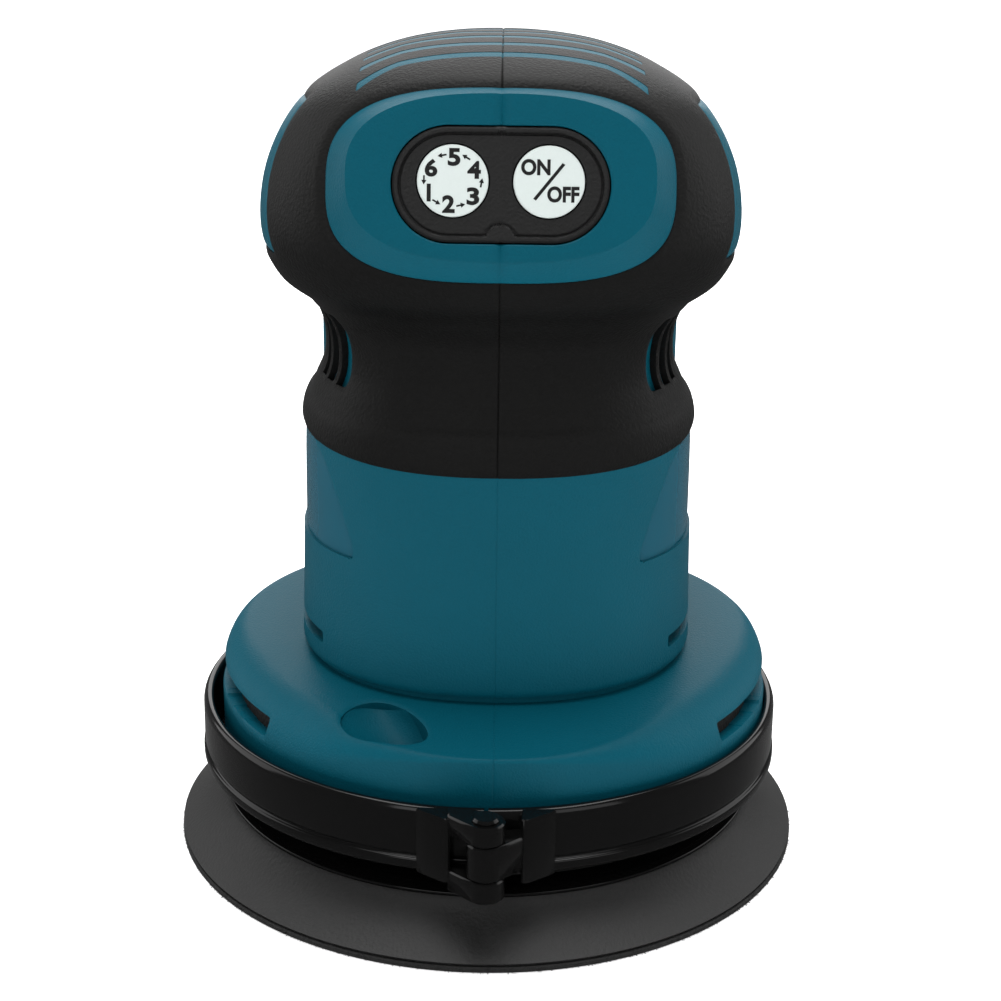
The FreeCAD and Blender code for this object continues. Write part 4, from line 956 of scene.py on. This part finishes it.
def add_hooks(builder):
    """Loose hooks round the pad's lower edge: three-sided spikes at random bearings and
    heights that lean outwards and curl up or down."""
    draw = np.random.default_rng(12)
    count = 1500
    bearing = draw.uniform(0.0, 2 * math.pi, count)
    root_z = draw.uniform(0.2, 1.0, count)
    reach = draw.uniform(0.15, 0.85, count)
    lean = draw.uniform(-0.5, 0.5, count)
    rise = np.maximum(draw.uniform(-0.7, 0.7, count), 0.1 - root_z)
    out = np.stack([np.cos(bearing), np.sin(bearing), 0 * bearing], -1)
    side = np.stack([-np.sin(bearing), np.cos(bearing), 0 * bearing], -1)
    root = out * 62.2 + np.stack([0 * bearing + PAD_X, 0 * bearing, root_z], -1)
    tip = root + out * reach[:, None] + side * lean[:, None] + rise[:, None] * AXES[2]
    corners = [root + side * 0.11, root - side * 0.055 + AXES[2] * 0.095,
               root - side * 0.055 - AXES[2] * 0.095, tip]
    index = np.arange(count)[:, None] + np.arange(4) * count
    faces = np.concatenate([index[:, order] for order in ([0, 1, 3], [1, 2, 3], [2, 0, 3])])
    builder.add(np.concatenate(corners), faces)


# ---------------------------------------------------------------- battery and screws


def make_battery(materials):
    """The pack's rear case with its ribs, and the release button with three ridges."""
    lid, tub, top, foot = 71.5, 112.5, 141.2, 33.0
    builder = Builder()
    points, faces = soft_box((-37.5, lid - 4.5, foot), (37.5, tub, top), 6.5)
    builder.add(points, faces)
    for x in (-22.0, -11.0, 0.0, 11.0, 22.0):
        builder.add(*soft_box((x - 2.4, tub - 2.0, 52.0), (x + 2.4, tub + 0.7, 122.0), 0.65))
    for side in (-1.0, 1.0):
        for height in (58.0, 70.0, 82.0, 94.0, 106.0, 118.0):
            near, far = sorted((side * 35.5, side * 38.1))
            builder.add(*soft_box((near, 82.0, height - 1.5), (far, 103.0, height + 1.5), 0.6))
    builder.piece("battery_shell", "battery", [materials["black_plastic"]],
                  ("battery_case_rear",), "battery_case")
    builder = Builder()
    points, faces = soft_box((-12.6, 55.9, 132.6), (12.6, 62.1, 140.9), 1.4)
    builder.add(points, faces)
    for height in (135.0, 136.8, 138.6):
        builder.add(*soft_box((-9.0, 61.4, height - 0.35), (9.0, 62.5, height + 0.35), 0.3))
    builder.piece("release_button", "battery_button", [materials["red"]], ("battery_button",),
                  "button_red")


def make_case_screws(materials):
    """Clamshell screws: a shank and a pan head with a round dimple in it, lying along X."""
    builder = Builder()
    for y, z, head in ((-40.9, 35.2, 2.6), (-18.0, 148.5, 3.6), (41.0, 52.0, 3.6),
                       (41.0, 92.0, 3.6), (41.0, 126.0, 3.6)):
        outline = [(0.001, -10.0), (1.4, -9.6), (1.6, -8.6), (1.6, 10.0), (head, 10.0),
                   (head, 11.2), (head * 0.7, 12.2), (0.9, 12.4), (0.5, 11.5), (0.001, 11.3)]
        points, faces = turned(outline, segments=36)
        builder.add(np.column_stack([-points[:, 2], y + points[:, 0], z - points[:, 1]]), faces)
    builder.piece("case_screws", "housing", [materials["zinc"]], ("housing_screws",),
                  "zinc_screws")


# ---------------------------------------------------------------- finishes on CAD nodes

NODE_FINISHES = {
    "rubber_and_slot_shade": ("key_gasket", "pad_brake_ring"),
    "board": ("control_board", "controller_board", "battery_board"),
    "black_plastic": ("tact_switches", "controller_case", "battery_receiver", "terminal_block",
                      "battery_case_front", "cooling_fan"),
    "sleeve": ("capacitors", "battery_cells"),
    "lamination": ("stator_core", "rotor_core"),
    "copper": ("stator_windings",),
    "white_plastic": ("winding_insulators", "cell_holders"),
    "steel": ("upper_bearing", "lower_bearing", "motor_shaft", "pad_bearing_lower",
              "pad_bearing_upper", "bearing_circlip", "pad_spindle", "cell_straps"),
    "aluminium": ("bearing_plate", "eccentric_carrier"),
    "zinc": ("plate_screws", "receiver_screws", "counterweight_screws", "pad_washer",
             "pad_screw"),
    "brass": ("terminal_blades", "battery_contacts"),
    "iron": ("rotor_magnets", "counterweight"),
}


def dress_nodes(materials):
    """Gives every CAD node that stays in view its own finish."""
    for finish, nodes in NODE_FINISHES.items():
        for node in nodes:
            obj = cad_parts[node]
            if not obj.material_slots:
                obj.data.materials.append(materials[finish])
            for material_slot in obj.material_slots:
                material_slot.material = materials[finish]


# ---------------------------------------------------------------- materials


def new_group(name, inputs, outputs):
    """An empty shader node group with named float or colour sockets."""
    group = bpy.data.node_groups.new(name, "ShaderNodeTree")
    for title, kind, value in inputs:
        socket = group.interface.new_socket(title, in_out="INPUT", socket_type=kind)
        socket.default_value = value
    for title, kind in outputs:
        group.interface.new_socket(title, in_out="OUTPUT", socket_type=kind)
    return group, group.nodes.new("NodeGroupInput"), group.nodes.new("NodeGroupOutput")


def math_node(tree, operation, *values):
    """A math node fed with numbers or sockets; returns its output."""
    node = tree.nodes.new("ShaderNodeMath")
    node.operation = operation
    for socket, value in zip(node.inputs, values):
        if isinstance(value, (int, float)):
            socket.default_value = value
        else:
            tree.links.new(value, socket)
    return node.outputs[0]


def make_grain_group():
    """Moulded surface: fine grain as a height, a mottled tone, and slow patches of gloss."""
    group, start, end = new_group(
        "moulded_surface",
        [("Grain Size", "NodeSocketFloat", 2200.0), ("Tone Depth", "NodeSocketFloat", 0.08)],
        [("Height", "NodeSocketFloat"), ("Tone", "NodeSocketFloat"),
         ("Gloss", "NodeSocketFloat")])
    where = group.nodes.new("ShaderNodeTexCoord").outputs["Object"]
    grain = group.nodes.new("ShaderNodeTexNoise")
    grain.inputs["Detail"].default_value = 2.0
    group.links.new(where, grain.inputs["Vector"])
    group.links.new(start.outputs["Grain Size"], grain.inputs["Scale"])
    patch = group.nodes.new("ShaderNodeTexNoise")
    patch.inputs["Scale"].default_value = 38.0
    patch.inputs["Detail"].default_value = 3.0
    group.links.new(where, patch.inputs["Vector"])
    centred = math_node(group, "SUBTRACT", patch.outputs["Fac"], 0.5)
    tone = math_node(group, "MULTIPLY", centred, start.outputs["Tone Depth"])
    speck = math_node(group, "MULTIPLY", math_node(group, "SUBTRACT", grain.outputs["Fac"], 0.5),
                      start.outputs["Tone Depth"])
    total = math_node(group, "ADD", math_node(group, "ADD", tone, speck), 1.0)
    group.links.new(grain.outputs["Fac"], end.inputs["Height"])
    group.links.new(total, end.inputs["Tone"])
    group.links.new(patch.outputs["Fac"], end.inputs["Gloss"])
    return group


def make_finish(name, colour, group, roughness, spread=0.06, grain=2200.0, bump=0.0,
                tone=0.10, metallic=0.0, coat=0.0, specular=0.5, bump_distance=0.0002):
    """One finish: base colour times the mottled tone, roughness with slow patches, and the
    grain as bump."""
    material = bpy.data.materials.new(name)
    material.use_nodes = True
    tree = material.node_tree
    shader = tree.nodes["Principled BSDF"]
    surface = tree.nodes.new("ShaderNodeGroup")
    surface.node_tree = group
    surface.inputs["Grain Size"].default_value = grain
    surface.inputs["Tone Depth"].default_value = tone
    mix = tree.nodes.new("ShaderNodeMix")
    mix.data_type = "RGBA"
    mix.blend_type = "MULTIPLY"
    mix.inputs["Factor"].default_value = 1.0
    mix.inputs["A"].default_value = (*colour, 1.0)
    tree.links.new(surface.outputs["Tone"], mix.inputs["B"])
    tree.links.new(mix.outputs["Result"], shader.inputs["Base Color"])
    rough = math_node(tree, "ADD", math_node(tree, "MULTIPLY", surface.outputs["Gloss"], spread),
                      roughness - spread / 2)
    tree.links.new(rough, shader.inputs["Roughness"])
    shader.inputs["Metallic"].default_value = metallic
    shader.inputs["Coat Weight"].default_value = coat
    shader.inputs["Coat Roughness"].default_value = 0.06
    shader.inputs["Specular IOR Level"].default_value = specular
    if bump:
        node = tree.nodes.new("ShaderNodeBump")
        node.inputs["Strength"].default_value = bump
        node.inputs["Distance"].default_value = bump_distance
        tree.links.new(surface.outputs["Height"], node.inputs["Height"])
        tree.links.new(node.outputs["Normal"], shader.inputs["Normal"])
    return material


def make_materials():
    group = make_grain_group()
    return {
        "teal": make_finish("teal_textured_plastic", (0.0004, 0.069, 0.102), group, 0.46,
                            bump=0.5, grain=2600.0, tone=0.14, specular=0.08),
        "teal_label": make_finish("teal_polished_recess", (0.002, 0.070, 0.108), group, 0.26,
                                  bump=0.04, tone=0.05, specular=0.35),
        # Black grip finish, also laid on the air slots' floors as painted shade.
        "rubber_and_slot_shade": make_finish("black_soft_grip_and_slot_shade", (0.0065, 0.0065, 0.0063), group, 0.56,
                              bump=0.8, grain=1700.0, tone=0.35, specular=0.13),
        "panel": make_finish("black_panel_plastic", (0.009, 0.009, 0.009), group, 0.50,
                             bump=0.6, grain=1900.0, tone=0.3, specular=0.3),
        "key": make_finish("white_key_plastic", (0.58, 0.64, 0.62), group, 0.38,
                           bump=0.15, grain=2600.0, tone=0.05),
        "print": make_finish("key_print", (0.010, 0.010, 0.010), group, 0.5, tone=0.05,
                             specular=0.2),
        "gloss_black": make_finish("polished_black_plastic", (0.003, 0.003, 0.003), group, 0.13,
                                   spread=0.05, bump=0.02, tone=0.1, specular=0.22),
        "foam": make_finish("pad_foam_skin", (0.013, 0.013, 0.013), group, 0.55,
                            bump=0.6, grain=1500.0, tone=0.3, specular=0.35),
        "hook": make_finish("hook_pile", (0.012, 0.012, 0.012), group, 0.85,
                            bump=1.0, grain=900.0, tone=0.5, bump_distance=0.0006),
        "black_plastic": make_finish("black_moulded_plastic", (0.016, 0.016, 0.017), group, 0.48,
                                     bump=0.5, grain=2200.0, tone=0.2),
        "steel": make_finish("ground_steel", (0.60, 0.61, 0.63), group, 0.26,
                             metallic=1.0, bump=0.1, grain=900.0),
        "zinc": make_finish("zinc_plated_steel", (0.52, 0.53, 0.54), group, 0.38,
                            metallic=1.0, bump=0.1, grain=1200.0),
        "aluminium": make_finish("cast_aluminium", (0.55, 0.56, 0.57), group, 0.45,
                                 metallic=1.0, bump=0.6, grain=1500.0),
        "lamination": make_finish("lamination_steel", (0.30, 0.30, 0.32), group, 0.5,
                                  metallic=1.0, bump=0.3, grain=2500.0),
        "copper": make_finish("enamelled_copper", (0.60, 0.22, 0.08), group, 0.35,
                              metallic=1.0, bump=0.8, grain=1600.0),
        "iron": make_finish("blackened_iron", (0.08, 0.08, 0.085), group, 0.55,
                            metallic=0.8, bump=0.6, grain=1500.0),
        "board": make_finish("green_circuit_board", (0.010, 0.085, 0.035), group, 0.35,
                             bump=0.2, grain=1500.0),
        "white_plastic": make_finish("natural_nylon", (0.55, 0.55, 0.50), group, 0.5,
                                     bump=0.3),
        "brass": make_finish("tinned_brass", (0.65, 0.50, 0.25), group, 0.32,
                             metallic=1.0, bump=0.1),
        "sleeve": make_finish("shrink_sleeve", (0.03, 0.16, 0.10), group, 0.30, bump=0.1),
        "red": make_finish("red_button_plastic", (0.42, 0.02, 0.015), group, 0.35, bump=0.3),
    }


# ---------------------------------------------------------------- stage


def make_stage():
    """Pale floor that curves up into the backdrop, soft lights from above, front and sides."""
    span = np.linspace(-2.6, 2.6, 9)
    depth = np.concatenate([np.linspace(-1.6, 1.2, 8), 1.2 + 0.9 * np.sin(
        np.linspace(0, math.pi / 2, 14))[1:], [2.1]])
    rise = np.concatenate([np.zeros(8), 0.9 - 0.9 * np.cos(np.linspace(0, math.pi / 2, 14))[1:],
                           [3.4]])
    x, index = np.meshgrid(span, np.arange(len(depth)))
    points = np.stack([x, depth[index], rise[index]], -1).reshape(-1, 3)
    mesh = bpy.data.meshes.new("studio_sweep")
    mesh.from_pydata(points.tolist(), [], grid_faces(len(depth), len(span)).tolist())
    mesh.polygons.foreach_set("use_smooth", [True] * len(mesh.polygons))
    floor = bpy.data.objects.new("studio_sweep", mesh)
    material = bpy.data.materials.new("studio_white")
    material.use_nodes = True
    shader = material.node_tree.nodes["Principled BSDF"]
    shader.inputs["Base Color"].default_value = (0.86, 0.86, 0.87, 1.0)
    shader.inputs["Roughness"].default_value = 0.75
    shader.inputs["Emission Color"].default_value = (1.0, 1.0, 1.0, 1.0)
    shader.inputs["Emission Strength"].default_value = 0.62
    mesh.materials.append(material)
    bpy.context.scene.collection.objects.link(floor)
    floor.visible_glossy = False
    world = bpy.data.worlds.new("studio")
    world.use_nodes = True
    world.node_tree.nodes["Background"].inputs["Color"].default_value = (1.0, 1.0, 1.0, 1.0)
    world.node_tree.nodes["Background"].inputs["Strength"].default_value = 0.16
    bpy.context.scene.world = world
    lamps = (("key_light", (-0.45, -1.1, 0.7), 0.6, 3.0),
             ("fill_light", (0.7, -0.95, 0.6), 0.6, 1.9),
             ("top_light", (0.0, 0.05, 1.25), 1.1, 24.0),
             ("rear_light", (0.0, 0.95, 0.55), 0.9, 6.0),
             ("left_light", (-0.85, 0.25, 0.4), 0.7, 2.8),
             ("right_light", (0.85, 0.25, 0.4), 0.7, 2.8))
    for name, place, size, power in lamps:
        data = bpy.data.lights.new(name, "AREA")
        data.shape = "SQUARE"
        data.size = size
        data.energy = power
        lamp = bpy.data.objects.new(name, data)
        lamp.location = place
        lamp.visible_camera = False
        aim = Vector((0.0, 0.0, 0.08)) - Vector(place)
        lamp.rotation_euler = aim.to_track_quat("-Z", "Y").to_euler()
        bpy.context.scene.collection.objects.link(lamp)
    bpy.context.scene.view_settings.view_transform = "Standard"


def make_camera():
    """The camera: 65 mm lens, a little above the tool and square to its front."""
    elevation, distance, roll = math.radians(18.2), 0.3551, math.radians(0.75)
    aim = Vector((0.0006, 0.0, 0.0673))
    back = Vector((0.0, -math.cos(elevation), math.sin(elevation)))
    data = bpy.data.cameras.new("studio_camera")
    data.sensor_width = 36.0
    data.lens = 64.73
    data.clip_start = 0.01
    camera = bpy.data.objects.new("studio_camera", data)
    turn = back.to_track_quat("Z", "Y").to_matrix() @ Matrix.Rotation(roll, 3, "Z")
    camera.matrix_world = Matrix.Translation(aim + back * distance) @ turn.to_4x4()
    bpy.context.scene.collection.objects.link(camera)
    bpy.context.scene.camera = camera


make_camera()
make_stage()
finishes = make_materials()
make_housing(finishes)
make_panel(finishes)
make_keys(finishes)
make_shroud(finishes)
make_pad(finishes)
make_battery(finishes)
make_case_screws(finishes)
dress_nodes(finishes)
